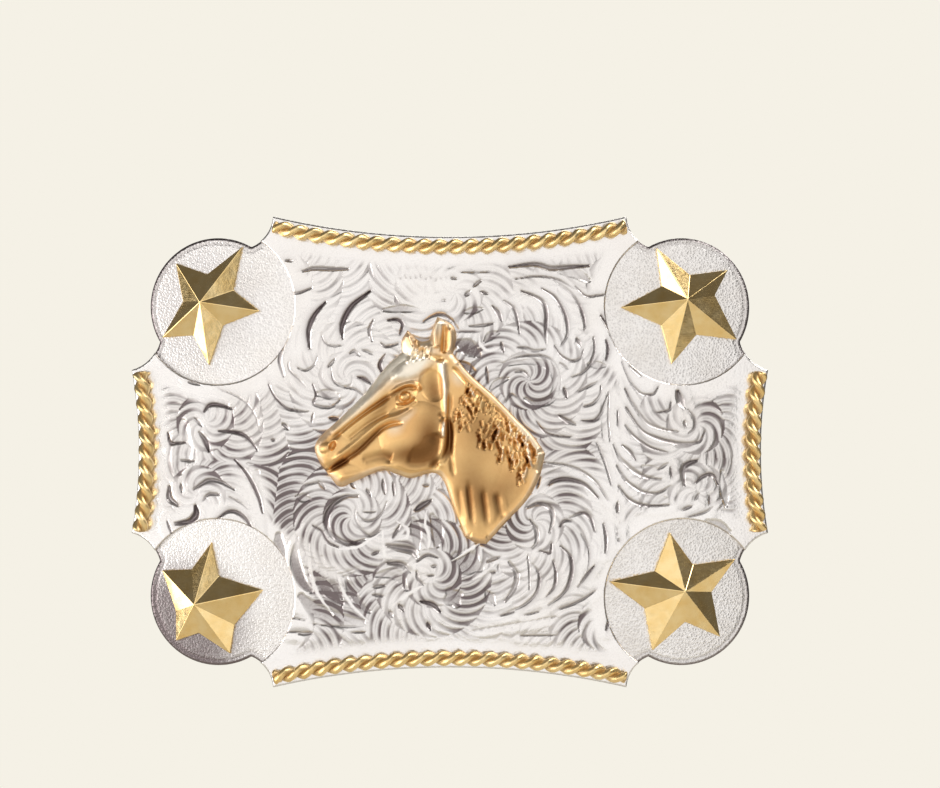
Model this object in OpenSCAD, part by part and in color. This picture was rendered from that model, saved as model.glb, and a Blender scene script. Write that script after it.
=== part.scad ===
// Western dress belt buckle: a curved base plate with four round corner lobes, an engraved
// face plate, rope trims, corner stars and a horse head in front; a swinging bail and a
// fixed hook for the belt behind. Worn upright: +X to the viewer's right, +Z up, front is -Y.
// The origin is the centre of the whole buckle's bounding box.

/* [Plates] */
// Width over the side wings
plate_w = 95.25; // [92:0.25:99]
// Height over the top and bottom wings
plate_h = 69.85; // [67:0.25:73]
// Radius of the curve that follows the waist, at the back of the base plate
curve_r = 230; // [200:5:300]
// Thickness of the base plate
base_t = 1.4; // [1.2:0.1:1.8]
// Thickness of the engraved face plate
face_t = 0.7; // [0.5:0.1:1]

/* [Outline] */
// Width of the top and bottom wings at their tips
top_wing_w = 52.4; // [50:0.2:54]
// Height of the side wings at their tips
side_wing_h = 24.4; // [23:0.2:26]
// How far the top and bottom edges bow inwards
top_sag = 3.1; // [2:0.1:4]
// How far the side edges bow inwards
side_sag = 1.1; // [0.6:0.1:2]
// How far a wing's short end edge bows inwards
end_sag = 0.8; // [0.4:0.1:1.2]
// Radius of a corner lobe
lobe_r = 10.2; // [9.8:0.1:10.4]
// From the side of the buckle in to a lobe's centre
lobe_in_x = 13; // [12.6:0.1:13.4]
// From the top or bottom of the buckle in to a lobe's centre
lobe_in_z = 13.3; // [13:0.1:13.6]

/* [Ornaments] */
// Radius of a rope trim
rope_r = 1.15; // [0.9:0.05:1.3]
// Length in which the two rope strands turn once
rope_lay = 4.6; // [3.5:0.1:6]
// Spread of the stars, as a share of their full size
star_spread = 1; // [0.8:0.02:1]
// Height of a star's peak over its lobe
star_h = 2.8; // [1.5:0.1:3.5]
// Height of the horse head's edge over the face plate
horse_t = 2; // [1.2:0.1:2.6]
// Height of the horse's cheek over the face plate
cheek_h = 3.9; // [3:0.1:5]

/* [Bail] */
// Clear height inside the bail, for the belt's strap
bail_inside = 40; // [36:0.5:41]
// From the hinge axis to the middle of the outer bar
bail_reach = 20; // [16:0.5:22]
// Radius of the bail's wire
wire_r = 1.6; // [1.2:0.1:1.8]
// From the buckle's middle to the hinge axis, along the plate's back
hinge_x = 14; // [12:0.5:15]
// Swing of the bail out from behind the plate
bail_swing = 0; // [0:5:180]

/* [Hook] */
// Radius of the hook that takes the belt's hole
hook_r = 1.8; // [1.4:0.1:2]
// Length of the hook's straight free end
hook_end = 4.5; // [4:0.5:6]
// Lean of the free end from the plate's normal, towards the bail
hook_lean = 52; // [35:1:60]
// From the buckle's middle to the root of the hook, along the plate's back
hook_x = 33; // [30:0.5:34]

/* [Hidden] */
$fn = 72;
big_fn = 360;

// solder film and fit gaps
film = 0.02;
running_gap = 0.05;

// radii of the plates' front faces, all about the same upright axis
base_r = curve_r + base_t;
face_r = base_r + face_t;

half_w = plate_w / 2;
half_h = plate_h / 2;
lobe_x = half_w - lobe_in_x;
lobe_z = half_h - lobe_in_z;
notch_r = lobe_r + 1.4;
// where a wing's end edge meets the lobe, as angles round the lobe
lobe_from = 120;
lobe_to = -31;

// rope axis, in from the plate's edge, and its ends, in from the wing's tips
rope_in = rope_r + 0.35;
rope_short = 0.5;
rope_sides = 12;

// the stars were cut and filed by hand, so no two agree: the corner's side in X and Z, the peak,
// the five tips and the corner that follows each tip, all as places off the lobe's centre
stars = [
    [1, 1, [0.2, 1],
     [[6.9, 5.5], [-4, 8.7], [-9.4, -0.2], [-1.7, -8.6], [8.3, -4.9]],
     [[1.1, 4.7], [-3.2, 3], [-3.3, -2.8], [2.1, -4.2], [4.9, 1.7]]],
    [-1, 1, [-2, 0.6],
     [[6.5, -0.7], [3.9, 8.9], [-6.3, 6.5], [-8.4, -4.6], [-1.2, -8.8]],
     [[2.5, 2.4], [-1.5, 4.8], [-5.2, 0.8], [-3.6, -4.3], [1, -2.8]]],
    [-1, -1, [-2.9, -1],
     [[7, 1.1], [-0.8, 8.2], [-8.4, 3.9], [-6.3, -6.6], [2, -8.4]],
     [[0.3, 3.1], [-3.9, 4.1], [-6.3, -2.2], [-2.8, -5.4], [2.7, -4.1]]],
    [1, -1, [-0.2, 1],
     [[8.1, 5.6], [-2, 9.7], [-11.1, 2.4], [-4.6, -7.9], [5.7, -6]],
     [[1.6, 4.8], [-4.3, 3.9], [-5.8, -1.6], [0.4, -3.7], [4.4, 0.7]]]
];
star_edge = 0.35;
peg_r = 0.8;
peg_head_r = 1.3;
peg_head_h = 0.45;

saddle_t = 0.9;
saddle_w = 14;
// the barrel stops short of the bail's bends by this much at each end
saddle_short = 1.6;
barrel_wall = 0.9;
bore_r = wire_r + running_gap;
// the wire's axis over the back of the saddle's foot
axis_lift = wire_r + 0.4;
hinge_lift = saddle_t + axis_lift;
bend_r = 4;
bail_half = bail_inside / 2 + wire_r;
saddle_h = 2 * (bail_half - bend_r - saddle_short);
rivet_r = 1;
rivet_head_r = 1.6;
rivet_head_h = 0.7;
rivet_sink = 0.5;
rivet_sink_r = 1.7;
saddle_rivets_at = [for (u = [-5, 5], z = [-11, 11]) [u, z]];

hook_plate_t = 0.9;
hook_plate_w = 9;
hook_plate_h = 16;
hook_bend_r = 3.3;
// the bend is a hair thinner than the collar and the free end, and runs into both
hook_neck_r = hook_r - 0.05;
hook_bite = 0.3;
hook_collar_r = hook_r + 0.5;
hook_collar_h = 1;
hook_rivets_at = [[0, -5], [0, 5]];

// the horse's cheek, a shallow dome
cheek_x = -4.6;
cheek_z = 2.4;
cheek_r = 4.6;
cheek_ball = (cheek_r * cheek_r + (cheek_h - horse_t + 0.4) ^ 2) / (2 * (cheek_h - horse_t + 0.4));
horse_pegs_at = [[-10, 3.5], [3, -4]];

// how far the hook's tip and the cheek reach behind and before the base plate's back
hook_turn = asin(-hook_x / curve_r);
bend_from = hook_plate_t + hook_collar_h - hook_bite;
tip_out = bend_from + hook_bend_r * sin(hook_lean) + hook_end * cos(hook_lean);
tip_along = hook_bend_r * (1 - cos(hook_lean)) + hook_end * sin(hook_lean);
rear_y = curve_r + tip_along * sin(hook_turn) + (tip_out - curve_r) * cos(hook_turn) + hook_r;
front_y = curve_r - (face_r + cheek_h - cheek_ball) * cos(asin(cheek_x / face_r)) - cheek_ball;
// the base plate's back at the middle of the buckle
seat_y = -(front_y + rear_y) / 2;

// ---- curves in the plane of the plate, as [x, z] points ----

// a circular arc from p to q whose middle lies sag to the left of the line; the last point is left out
function bow(p, q, sag, n) =
    let (d = norm(q - p), u = (q - p) / d, left = [-u[1], u[0]],
         r = (d * d / 4 + sag * sag) / (2 * sag), c = (p + q) / 2 + left * (sag - r),
         half = asin(d / (2 * r)))
    [for (i = [0:n - 1]) let (a = half * (2 * i / n - 1)) c + r * (left * cos(a) + u * sin(a))];

// a smooth curve through the points of p; the last point is left out
function smooth(p, n) =
    let (last = len(p) - 1)
    [for (i = [0:last - 1], k = [0:n - 1])
        let (t = k / n, p0 = p[max(i - 1, 0)], p1 = p[i], p2 = p[i + 1], p3 = p[min(i + 2, last)])
        0.5 * (2 * p1 + (p2 - p0) * t + (2 * p0 - 5 * p1 + 4 * p2 - p3) * t * t
               + (3 * p1 - p0 - 3 * p2 + p3) * t * t * t)];

function lobe_point(a) = [lobe_x, lobe_z] + lobe_r * [cos(a), sin(a)];

// the plate's edge, from the middle of the top to the middle of the right side
function quarter_edge() =
    let (top_tip = [top_wing_w / 2, half_h], side_tip = [half_w, side_wing_h / 2],
         top = bow([-top_tip[0], half_h], top_tip, -top_sag, 24),
         side = bow(side_tip, [half_w, -side_tip[1]], -side_sag, 16))
    concat([for (i = [12:23]) top[i]],
           bow(top_tip, lobe_point(lobe_from), -end_sag, 5),
           [for (i = [0:23]) lobe_point(lobe_from + (lobe_to - lobe_from) * i / 24)],
           bow(lobe_point(lobe_to), side_tip, -end_sag, 5),
           [for (i = [0:8]) side[i]]);

function mirrored(p, sx, sz) = [for (q = p) [sx * q[0], sz * q[1]]];
function backwards(p) = [for (i = [len(p) - 1:-1:0]) p[i]];
function without_first(p) = [for (i = [1:len(p) - 1]) p[i]];

function plate_edge() =
    let (q = quarter_edge())
    concat(q,
           without_first(backwards(mirrored(q, 1, -1))),
           without_first(mirrored(q, -1, -1)),
           [for (p = without_first(backwards(mirrored(q, -1, 1)))) if (p[0] != 0) p]);

// the horse's profile, facing left, as smooth stretches that meet at its corners
horse_profile = [
    // nose line, nostril and upper lip
    [[-7, 14.8], [-9.4, 12.6], [-12.6, 8.6], [-16.4, 4.8], [-19.2, 2.2], [-19.9, 0.4], [-19, -2]],
    // lower lip, chin, jaw and throat
    [[-19, -2], [-17.6, -3.6], [-16.2, -5.1], [-13.8, -4.2], [-10, -2.7], [-7.8, -3.2], [-5.6, -3.8],
     [-2.6, -3], [-1, -4], [0.3, -7.4], [2.2, -12.4]],
    // the cut through the neck
    [[2.2, -12.4], [3.8, -13.3], [5.4, -13.5]],
    [[5.4, -13.5], [8.6, -10], [11.4, -7], [13.2, -3.8], [14.1, -0.2]],
    // the crest, up to the ears
    [[14.1, -0.2], [12.4, 2.3], [9.4, 5.4], [6.4, 8.5], [3, 11.5], [0.5, 14.6]],
    // near ear
    [[0.5, 14.6], [1, 17], [0.4, 18.8], [-1.8, 20]],
    [[-1.8, 20], [-2.5, 18.2], [-3, 16.6]],
    // forelock and far ear
    [[-3, 16.6], [-4.4, 16.4], [-6.2, 18]],
    [[-6.2, 18], [-7.1, 16.4], [-7, 14.8]]
];

// ---- shared shapes ----

// a local frame on a face of radius r: X along the curve, Z up, -Y out of the front
module on_curve(x, z, r) {
    translate([0, seat_y + curve_r, 0])
        rotate([0, 0, asin(x / r)])
            translate([0, -r, z])
                children();
}

module bent_sheet(r_in, r_out, h) {
    translate([0, seat_y + curve_r, 0])
        difference() {
            cylinder(r = r_out, h = h, center = true, $fn = big_fn);
            cylinder(r = r_in, h = h + 2, center = true, $fn = big_fn);
        }
}

// what fills the space behind a face of radius r
module bent_block(r) {
    translate([0, seat_y + curve_r, 0])
        cylinder(r = r, h = plate_h + 10, center = true, $fn = big_fn);
}

// a flat outline in X and Z, pushed through the curve from front to back
module through_plate() {
    rotate([90, 0, 0])
        linear_extrude(height = 40, center = true)
            children();
}

// on the front of the base plate, in the middle of a star's lobe
module at_star(s) {
    on_curve(s[0] * lobe_x, s[1] * lobe_z, base_r)
        children();
}

// a round bar along local +Y, between two places on that axis
module shank(r, from, to) {
    translate([0, from, 0])
        rotate([-90, 0, 0])
            cylinder(r = r, h = to - from);
}

// a low dome on local +Y
module dome_head(r, h) {
    ball = (r * r + h * h) / (2 * h);
    rotate([-90, 0, 0])
        intersection() {
            cylinder(r = r, h = h);
            translate([0, 0, h - ball])
                sphere(r = ball);
        }
}

// a peg from an ornament at depth from, through the base plate to a peened head behind
module peg(from) {
    shank(peg_r, from, base_t + 2 * film);
    translate([0, base_t + film, 0])
        dome_head(peg_head_r, peg_head_h);
}

// a shank along local +Y with a sunk head in the base plate's front, spare wider all over;
// from and to are measured from that front, and the head's cone runs on as far as from
module sunk_shank(from, to, spare) {
    slope = (rivet_sink_r - rivet_r) / rivet_sink;
    neck = rivet_sink + film;
    translate([0, -base_t, 0])
        rotate([-90, 0, 0])
            rotate_extrude()
                polygon([[0, from], [rivet_r + spare + slope * (neck - from), from],
                         [rivet_r + spare, neck], [rivet_r + spare, to], [0, to]]);
}

// a rivet through the base plate and a foot of thickness t behind it, sunk flush in front
module rivet(t) {
    sunk_shank(film, base_t + t + 2 * film, 0);
    translate([0, t + film, 0])
        dome_head(rivet_head_r, rivet_head_h);
}

module rivet_hole() {
    sunk_shank(-rivet_sink / 2, base_t + 1, film);
}

module at_rivets(x, places) {
    for (p = places)
        on_curve(x + p[0], p[1], curve_r)
            children();
}

// ---- plates ----

module base_plate() color("silver") {
    difference() {
        intersection() {
            bent_sheet(curve_r, base_r, plate_h + 10);
            through_plate() polygon(plate_edge());
        }
        for (s = stars)
            at_star(s)
                shank(peg_r + film, -1, base_t + 1);
        for (p = horse_pegs_at)
            on_curve(p[0], p[1], base_r)
                shank(peg_r + film, -1, base_t + 1);
        at_rivets(hinge_x, saddle_rivets_at)
            rivet_hole();
        at_rivets(-hook_x, concat([[0, 0]], hook_rivets_at))
            rivet_hole();
    }
}

module face_plate() color("gainsboro") {
    difference() {
        intersection() {
            bent_sheet(base_r + film, face_r, plate_h + 10);
            through_plate() polygon(plate_edge());
        }
        for (x = [-lobe_x, lobe_x], z = [-lobe_z, lobe_z])
            through_plate() translate([x, z]) circle(r = notch_r);
        for (p = horse_pegs_at)
            on_curve(p[0], p[1], face_r)
                shank(peg_r + film, -1, face_t + 1);
    }
}

// ---- rope trims ----

// one ring of a rope over the face plate, at angle a of the circle round c of radius r
function rope_ring(c, r, a, turn, size) =
    let (x = c[0] + r * cos(a), z = c[1] + r * sin(a), th = asin(x / face_r),
         out = [sin(th), -cos(th), 0], along = [cos(th), sin(th), 0],
         run = along * (-r * sin(a) / cos(th)) + [0, 0, r * cos(a)],
         across = cross(run / norm(run), out),
         foot = [face_r * sin(th), seat_y + curve_r - face_r * cos(th), z])
    [for (k = [0:rope_sides - 1])
        let (f = 360 * k / rope_sides, q = size * rope_r * (0.86 + 0.14 * cos(2 * (f - turn))))
        foot + across * q * cos(f) + out * max(film, rope_r * 0.9 + q * sin(f))];

// two strands laid round each other along an arc of the face plate's edge
module rope(c, r, from, to) {
    rings = ceil(abs(to - from) * PI / 180 * r / rope_lay * 8);
    turns = abs(to - from) * PI / 180 * r / rope_lay;
    points = [for (i = [0:rings])
        each rope_ring(c, r, from + (to - from) * i / rings, -360 * turns * i / rings,
                       (i == 0 || i == rings) ? 0.8 : 1)];
    n = rope_sides;
    skin = [for (i = [0:rings - 1], k = [0:n - 1])
        let (a = i * n + k, b = i * n + (k + 1) % n)
        each [[a, b, a + n], [b, b + n, a + n]]];
    polyhedron(points = points,
               faces = concat(skin, [[for (k = [n - 1:-1:0]) k], [for (k = [0:n - 1]) rings * n + k]]));
}

// the rope beside an edge that runs between the tips p and q and bows in by sag
module edge_rope(p, q, sag) {
    d = norm(q - p);
    r = (d * d / 4 + sag * sag) / (2 * sag);
    out = [(p[1] - q[1]) / d, (q[0] - p[0]) / d];
    c = (p + q) / 2 + out * (r - sag);
    half = asin((d / 2 - rope_short) / r);
    mid = atan2(-out[1], -out[0]);
    rope(c, r + rope_in, mid + half, mid - half);
}

module rope_trim_top() color("gold")
    edge_rope([-top_wing_w / 2, half_h], [top_wing_w / 2, half_h], top_sag);

module rope_trim_bottom() color("gold")
    edge_rope([top_wing_w / 2, -half_h], [-top_wing_w / 2, -half_h], top_sag);

module rope_trim_left() color("gold")
    edge_rope([-half_w, -side_wing_h / 2], [-half_w, side_wing_h / 2], side_sag);

module rope_trim_right() color("gold")
    edge_rope([half_w, side_wing_h / 2], [half_w, -side_wing_h / 2], side_sag);

// ---- stars ----

// five ridges from the peak to the tips, five creases to the corners between
module star_body(s) {
    peak = s[2];
    rim = [for (i = [0:4], p = [s[3][i], s[4][i]]) star_spread * p];
    points = concat([[peak[0], -star_h, peak[1]]],
                    [for (p = rim) [p[0], -star_edge, p[1]]],
                    [for (p = rim) [p[0], 1, p[1]]]);
    polyhedron(points = points, faces = concat(
        [for (i = [0:9]) [0, 1 + (i + 1) % 10, 1 + i]],
        [for (i = [0:9]) [1 + i, 1 + (i + 1) % 10, 11 + (i + 1) % 10, 11 + i]],
        [[for (i = [0:9]) 11 + i]]));
}

module star(s) color("goldenrod") {
    difference() {
        at_star(s)
            star_body(s);
        bent_block(base_r + film);
    }
    at_star(s)
        peg(-star_edge);
}

module star_top_right() star(stars[0]);
module star_top_left() star(stars[1]);
module star_bottom_left() star(stars[2]);
module star_bottom_right() star(stars[3]);

// ---- horse head ----

module horse_head() color("darkgoldenrod") {
    outline = [for (s = horse_profile) each smooth(s, len(s) > 3 ? 3 : 2)];
    difference() {
        intersection() {
            union() {
                bent_block(face_r + horse_t);
                on_curve(cheek_x, cheek_z, face_r)
                    rotate([90, 0, 0])
                        translate([0, 0, cheek_h - cheek_ball])
                            sphere(r = cheek_ball);
            }
            through_plate() polygon(outline);
        }
        bent_block(face_r + film);
    }
    for (p = horse_pegs_at)
        on_curve(p[0], p[1], base_r)
            peg(-face_t - horse_t / 2);
}

// ---- bail and its saddle ----

// a foot bent to the back of the plate, with the barrel that the bail swings in
module bail_saddle() color("lightsteelblue") {
    difference() {
        union() {
            intersection() {
                bent_sheet(curve_r - saddle_t, curve_r - film, saddle_h);
                on_curve(hinge_x, 0, curve_r)
                    cube([saddle_w, 20, saddle_h + 2], center = true);
            }
            on_curve(hinge_x, 0, curve_r)
                translate([0, hinge_lift, 0])
                    cylinder(r = bore_r + barrel_wall, h = saddle_h, center = true);
        }
        on_curve(hinge_x, 0, curve_r)
            translate([0, hinge_lift, 0])
                cylinder(r = bore_r, h = saddle_h + 2, center = true);
        at_rivets(hinge_x, saddle_rivets_at)
            shank(rivet_r + film, -1, saddle_t + 1);
    }
}

module saddle_rivets() color("lightgray")
    at_rivets(hinge_x, saddle_rivets_at)
        rivet(saddle_t);

// one closed loop of wire in local X and Z, its inner bar on the local Z axis
module wire_loop() {
    straight = bail_half - bend_r;
    for (x = [0, bail_reach])
        translate([x, 0, 0])
            cylinder(r = wire_r, h = 2 * straight, center = true);
    for (s = [-1, 1])
        translate([bend_r, 0, s * bail_half])
            rotate([0, 90, 0])
                cylinder(r = wire_r, h = bail_reach - 2 * bend_r);
    for (a = [[bend_r, 1, 90], [bail_reach - bend_r, 1, 0],
              [bend_r, -1, 180], [bail_reach - bend_r, -1, 270]])
        translate([a[0], 0, a[1] * straight])
            rotate([90, 0, 0])
                rotate([0, 0, a[2]])
                    rotate_extrude(angle = 90)
                        translate([bend_r, 0])
                            circle(r = wire_r);
}

module bail() color("silver")
    on_curve(hinge_x, 0, curve_r)
        translate([0, hinge_lift, 0])
            rotate([0, 0, bail_swing])
                wire_loop();

// ---- hook ----

module hook_plate() color("lightsteelblue") {
    difference() {
        intersection() {
            bent_sheet(curve_r - hook_plate_t, curve_r - film, hook_plate_h + 2);
            on_curve(-hook_x, 0, curve_r)
                rotate([90, 0, 0])
                    linear_extrude(height = 10, center = true)
                        union() {
                            square([hook_plate_w, hook_plate_h - hook_plate_w], center = true);
                            for (s = [-1, 1])
                                translate([0, s * (hook_plate_h - hook_plate_w) / 2])
                                    circle(d = hook_plate_w);
                        }
        }
        at_rivets(-hook_x, concat([[0, 0]], hook_rivets_at))
            shank(rivet_r + film, -1, hook_plate_t + 1);
    }
}

// riveted through both plates, then bent towards the bail, with a straight round end
module hook_post() color("silver") {
    on_curve(-hook_x, 0, curve_r) {
        sunk_shank(film, base_t + hook_plate_t + hook_collar_h / 2, 0);
        translate([0, hook_plate_t + film, 0])
            rotate([-90, 0, 0])
                cylinder(r = hook_collar_r, h = hook_collar_h - film);
        translate([hook_bend_r, bend_from, 0])
            rotate([0, 0, 180 - hook_lean])
                rotate_extrude(angle = hook_lean)
                    translate([hook_bend_r, 0])
                        circle(r = hook_neck_r);
        translate([tip_along, tip_out, 0])
            rotate([0, 0, -hook_lean])
                rotate([-90, 0, 0])
                    hook_free_end();
    }
}

// a round bar along Z with a ball end at the origin
module hook_free_end() {
    rotate_extrude() {
        translate([0, -hook_end - hook_bite])
            square([hook_r, hook_end + hook_bite]);
        intersection() {
            circle(r = hook_r);
            square(hook_r);
        }
    }
}

module hook_rivets() color("lightgray")
    at_rivets(-hook_x, hook_rivets_at)
        rivet(hook_plate_t);

base_plate();
face_plate();
rope_trim_top();
rope_trim_bottom();
rope_trim_left();
rope_trim_right();
star_top_right();
star_top_left();
star_bottom_left();
star_bottom_right();
horse_head();
bail_saddle();
saddle_rivets();
bail();
hook_plate();
hook_post();
hook_rivets();
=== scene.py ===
"""Looks of a Western dress belt buckle: engraved silver face, gold trims, nickel back.

Lengths are in millimetres inside the functions and become metres when a mesh is made.
X is to the viewer's right, Z is up, and the front faces -Y.
"""

import math

import bpy
import numpy as np
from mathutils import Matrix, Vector, geometry

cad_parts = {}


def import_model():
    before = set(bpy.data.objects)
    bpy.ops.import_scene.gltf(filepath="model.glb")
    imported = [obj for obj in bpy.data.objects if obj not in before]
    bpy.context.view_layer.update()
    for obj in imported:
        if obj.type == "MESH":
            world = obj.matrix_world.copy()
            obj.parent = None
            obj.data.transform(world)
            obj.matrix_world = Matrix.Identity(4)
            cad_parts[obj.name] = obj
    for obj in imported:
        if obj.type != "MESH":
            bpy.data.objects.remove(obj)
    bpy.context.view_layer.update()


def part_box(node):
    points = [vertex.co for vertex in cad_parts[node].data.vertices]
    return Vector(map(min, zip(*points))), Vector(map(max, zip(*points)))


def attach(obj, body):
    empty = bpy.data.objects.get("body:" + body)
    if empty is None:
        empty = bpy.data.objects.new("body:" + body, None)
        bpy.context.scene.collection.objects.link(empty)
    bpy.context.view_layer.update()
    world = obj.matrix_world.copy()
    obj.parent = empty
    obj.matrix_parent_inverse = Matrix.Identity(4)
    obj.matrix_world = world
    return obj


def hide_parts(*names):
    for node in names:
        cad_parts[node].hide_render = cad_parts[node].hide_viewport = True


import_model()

MM = 0.001
RNG = np.random.default_rng(11)

# ---- sizes shared with the CAD source, in mm and degrees ----

BACK_R = 230.0
BASE_R = 231.4
FACE_R = 232.1
FILM = 0.02
TOP_WING_W = 52.4
SIDE_WING_H = 24.4
TOP_SAG = 3.1
SIDE_SAG = 1.1
END_SAG = 0.8
LOBE_R = 10.2
NOTCH_R = 11.6
LOBE_IN_X = 13.0
LOBE_IN_Z = 13.3
LOBE_FROM = 120.0
LOBE_TO = -31.0
ROPE_R = 1.15
ROPE_LAY = 4.6
ROPE_SHORT = 0.5
ROPE_IN = ROPE_R + 0.35
ROPE_SEAT = ROPE_R * 0.9
PEG_R = 0.8
PEG_HEAD_R = 1.3
PEG_HEAD_H = 0.45
HORSE_PEGS = ((-10.0, 3.5), (3.0, -4.0))

# ---- sizes of the finer meshes, in mm ----

FACE_EDGE = 0.22
BASE_EDGE = 0.32
HORSE_EDGE = 0.3
ROPE_TAPER = 0.45
STRAND_R = 0.58 * ROPE_R
STRAND_OUT = 0.42 * ROPE_R
PEG_RIM = 0.06
PEG_TIP_R = 0.02
PEG_INSIDE = 1.6
# yarns round a strand, and their height as a share of the strand's radius
YARNS = 5
YARN_DEPTH = 0.045

# ---- how fine the meshes are: cells and steps in mm, and numbers of points ----

FACE_CELL = 0.125
BASE_CELL = 0.21
HORSE_CELL = 0.12
BACK_CELL = 1.3
ROPE_STEP = 0.11
STRAND_SIDES = 16
PEG_SIDES = 20
WALL_STEPS = 3
CURVE_STEPS = 6
TOP_POINTS = 64
SIDE_POINTS = 24
END_POINTS = 8
LOBE_POINTS = 72
# faces that meet at more than this many degrees keep a crisp edge
CREASE = 62

base_low, base_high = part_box("base_plate")
HALF_W = base_high.x / MM
HALF_H = base_high.z / MM
AXIS_Y = base_low.y / MM + BASE_R
LOBE_X = HALF_W - LOBE_IN_X
LOBE_Z = HALF_H - LOBE_IN_Z


# ---- small mathematics ----


def surface_y(x, r):
    """Y of the front of a cylinder of radius r about the waist's axis."""
    return AXIS_Y - np.sqrt(r * r - np.asarray(x, float) ** 2)


def smooth_step(low, high, value):
    """An S curve from 0 at low to 1 at high; low may be the larger of the two."""
    t = np.clip((value - low) / (high - low), 0, 1)
    return t * t * (3 - 2 * t)


def bow(p, q, sag, count):
    """Points on an arc from p to q that lies sag to the left; the last is left out."""
    p, q = np.array(p, float), np.array(q, float)
    d = np.linalg.norm(q - p)
    u = (q - p) / d
    left = np.array([-u[1], u[0]])
    r = (d * d / 4 + sag * sag) / (2 * sag)
    c = (p + q) / 2 + left * (sag - r)
    half = math.asin(d / (2 * r))
    angles = half * (2 * np.arange(count) / count - 1)
    return [c + r * (left * math.cos(a) + u * math.sin(a)) for a in angles]


def catmull(points, count):
    """A smooth curve through the points, with count steps between each two."""
    p = np.array(points, float)
    p = np.vstack([2 * p[0] - p[1], p, 2 * p[-1] - p[-2]])
    out = []
    for i in range(len(p) - 3):
        a, b, c, d = p[i : i + 4]
        for t in np.arange(count) / count:
            square = (2 * a - 5 * b + 4 * c - d) * t * t
            cube = (3 * b - a - 3 * c + d) * t**3
            out.append(0.5 * (2 * b + (c - a) * t + square + cube))
    out.append(p[-2])
    return np.array(out)


def arc_path(p, angle, length, bend, count):
    """A path from p that starts at angle and turns by bend degrees over its length."""
    steps = np.arange(count) / (count - 1)
    turn = np.radians(angle + bend * steps)
    dx = np.cos(turn) * length / (count - 1)
    dz = np.sin(turn) * length / (count - 1)
    x = p[0] + np.concatenate([[0], np.cumsum((dx[1:] + dx[:-1]) / 2)])
    z = p[1] + np.concatenate([[0], np.cumsum((dz[1:] + dz[:-1]) / 2)])
    return np.stack([x, z], 1)


def circle_path(c, r, start, stop, count):
    """A path round c, at radius r, from one angle to another."""
    a = np.radians(start + (stop - start) * np.linspace(0, 1, count))
    return np.stack([c[0] + r * np.cos(a), c[1] + r * np.sin(a)], 1)


# ---- the plates' outline ----


def lobe_point(angle):
    """A point on the upper right lobe's edge."""
    a = math.radians(angle)
    return np.array([LOBE_X + LOBE_R * math.cos(a), LOBE_Z + LOBE_R * math.sin(a)])


def quarter_edge():
    """The plate's edge from the middle of the top to the middle of the right side."""
    top_tip = (TOP_WING_W / 2, HALF_H)
    side_tip = (HALF_W, SIDE_WING_H / 2)
    top = bow((-top_tip[0], HALF_H), top_tip, -TOP_SAG, TOP_POINTS)[TOP_POINTS // 2:]
    end_a = bow(top_tip, lobe_point(LOBE_FROM), -END_SAG, END_POINTS)
    span = LOBE_TO - LOBE_FROM
    lobe = [lobe_point(LOBE_FROM + span * i / LOBE_POINTS) for i in range(LOBE_POINTS)]
    end_b = bow(lobe_point(LOBE_TO), side_tip, -END_SAG, END_POINTS)
    side = bow(side_tip, (HALF_W, -side_tip[1]), -SIDE_SAG, SIDE_POINTS)
    side = side[:SIDE_POINTS // 2 + 1]
    return np.array(top + end_a + lobe + end_b + side)


def nearest_on(line, x, z):
    """Distance from the points to a polyline, and the nearest point's x and z."""
    best = np.full(x.shape, 1e9)
    near_x, near_z = np.zeros(x.shape), np.zeros(x.shape)
    for a, b in zip(line[:-1], line[1:], strict=True):
        ab = b - a
        t = np.clip(((x - a[0]) * ab[0] + (z - a[1]) * ab[1]) / (ab @ ab), 0, 1)
        px, pz = a[0] + t * ab[0], a[1] + t * ab[1]
        d = (x - px) ** 2 + (z - pz) ** 2
        closer = d < best
        best[closer] = d[closer]
        near_x[closer] = px[closer]
        near_z[closer] = pz[closer]
    return np.sqrt(best), near_x, near_z


def inside_of(polygon, x, z):
    """True for the points inside a closed polygon."""
    inside = np.zeros(x.shape, bool)
    for a, b in zip(polygon, np.roll(polygon, -1, 0), strict=True):
        crosses = (a[1] > z) != (b[1] > z)
        if a[1] != b[1]:
            at = a[0] + (z - a[1]) * (b[0] - a[0]) / (b[1] - a[1])
            inside ^= crosses & (x < at)
    return inside


def plate_field(x, z):
    """How far the points lie inside the plate's outline, and the nearest edge point."""
    quarter = quarter_edge()
    ax, az = np.abs(x), np.abs(z)
    d, near_x, near_z = nearest_on(quarter, ax, az)
    inside = inside_of(np.vstack([[[-1.0, -1.0], [-1.0, quarter[0, 1]]], quarter,
                                  [[quarter[-1, 0], -1.0]]]), ax, az)
    d = np.where(inside, d, -d)
    return d, near_x * np.where(x < 0, -1, 1), near_z * np.where(z < 0, -1, 1)


def notch_field(x, z):
    """How far the points lie outside the notches round the lobes, and the nearest point."""
    dx, dz = np.abs(x) - LOBE_X, np.abs(z) - LOBE_Z
    r = np.maximum(np.hypot(dx, dz), 1e-6)
    near_x = (LOBE_X + dx / r * NOTCH_R) * np.where(x < 0, -1, 1)
    near_z = (LOBE_Z + dz / r * NOTCH_R) * np.where(z < 0, -1, 1)
    return r - NOTCH_R, near_x, near_z


def face_field(x, z):
    """The same for the face plate, which the notches cut into."""
    d, near_x, near_z = plate_field(x, z)
    e, notch_x, notch_z = notch_field(x, z)
    notch = e < d
    return (np.where(notch, e, d), np.where(notch, notch_x, near_x),
            np.where(notch, notch_z, near_z))


# ---- sheets whose front is a height field ----


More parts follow.
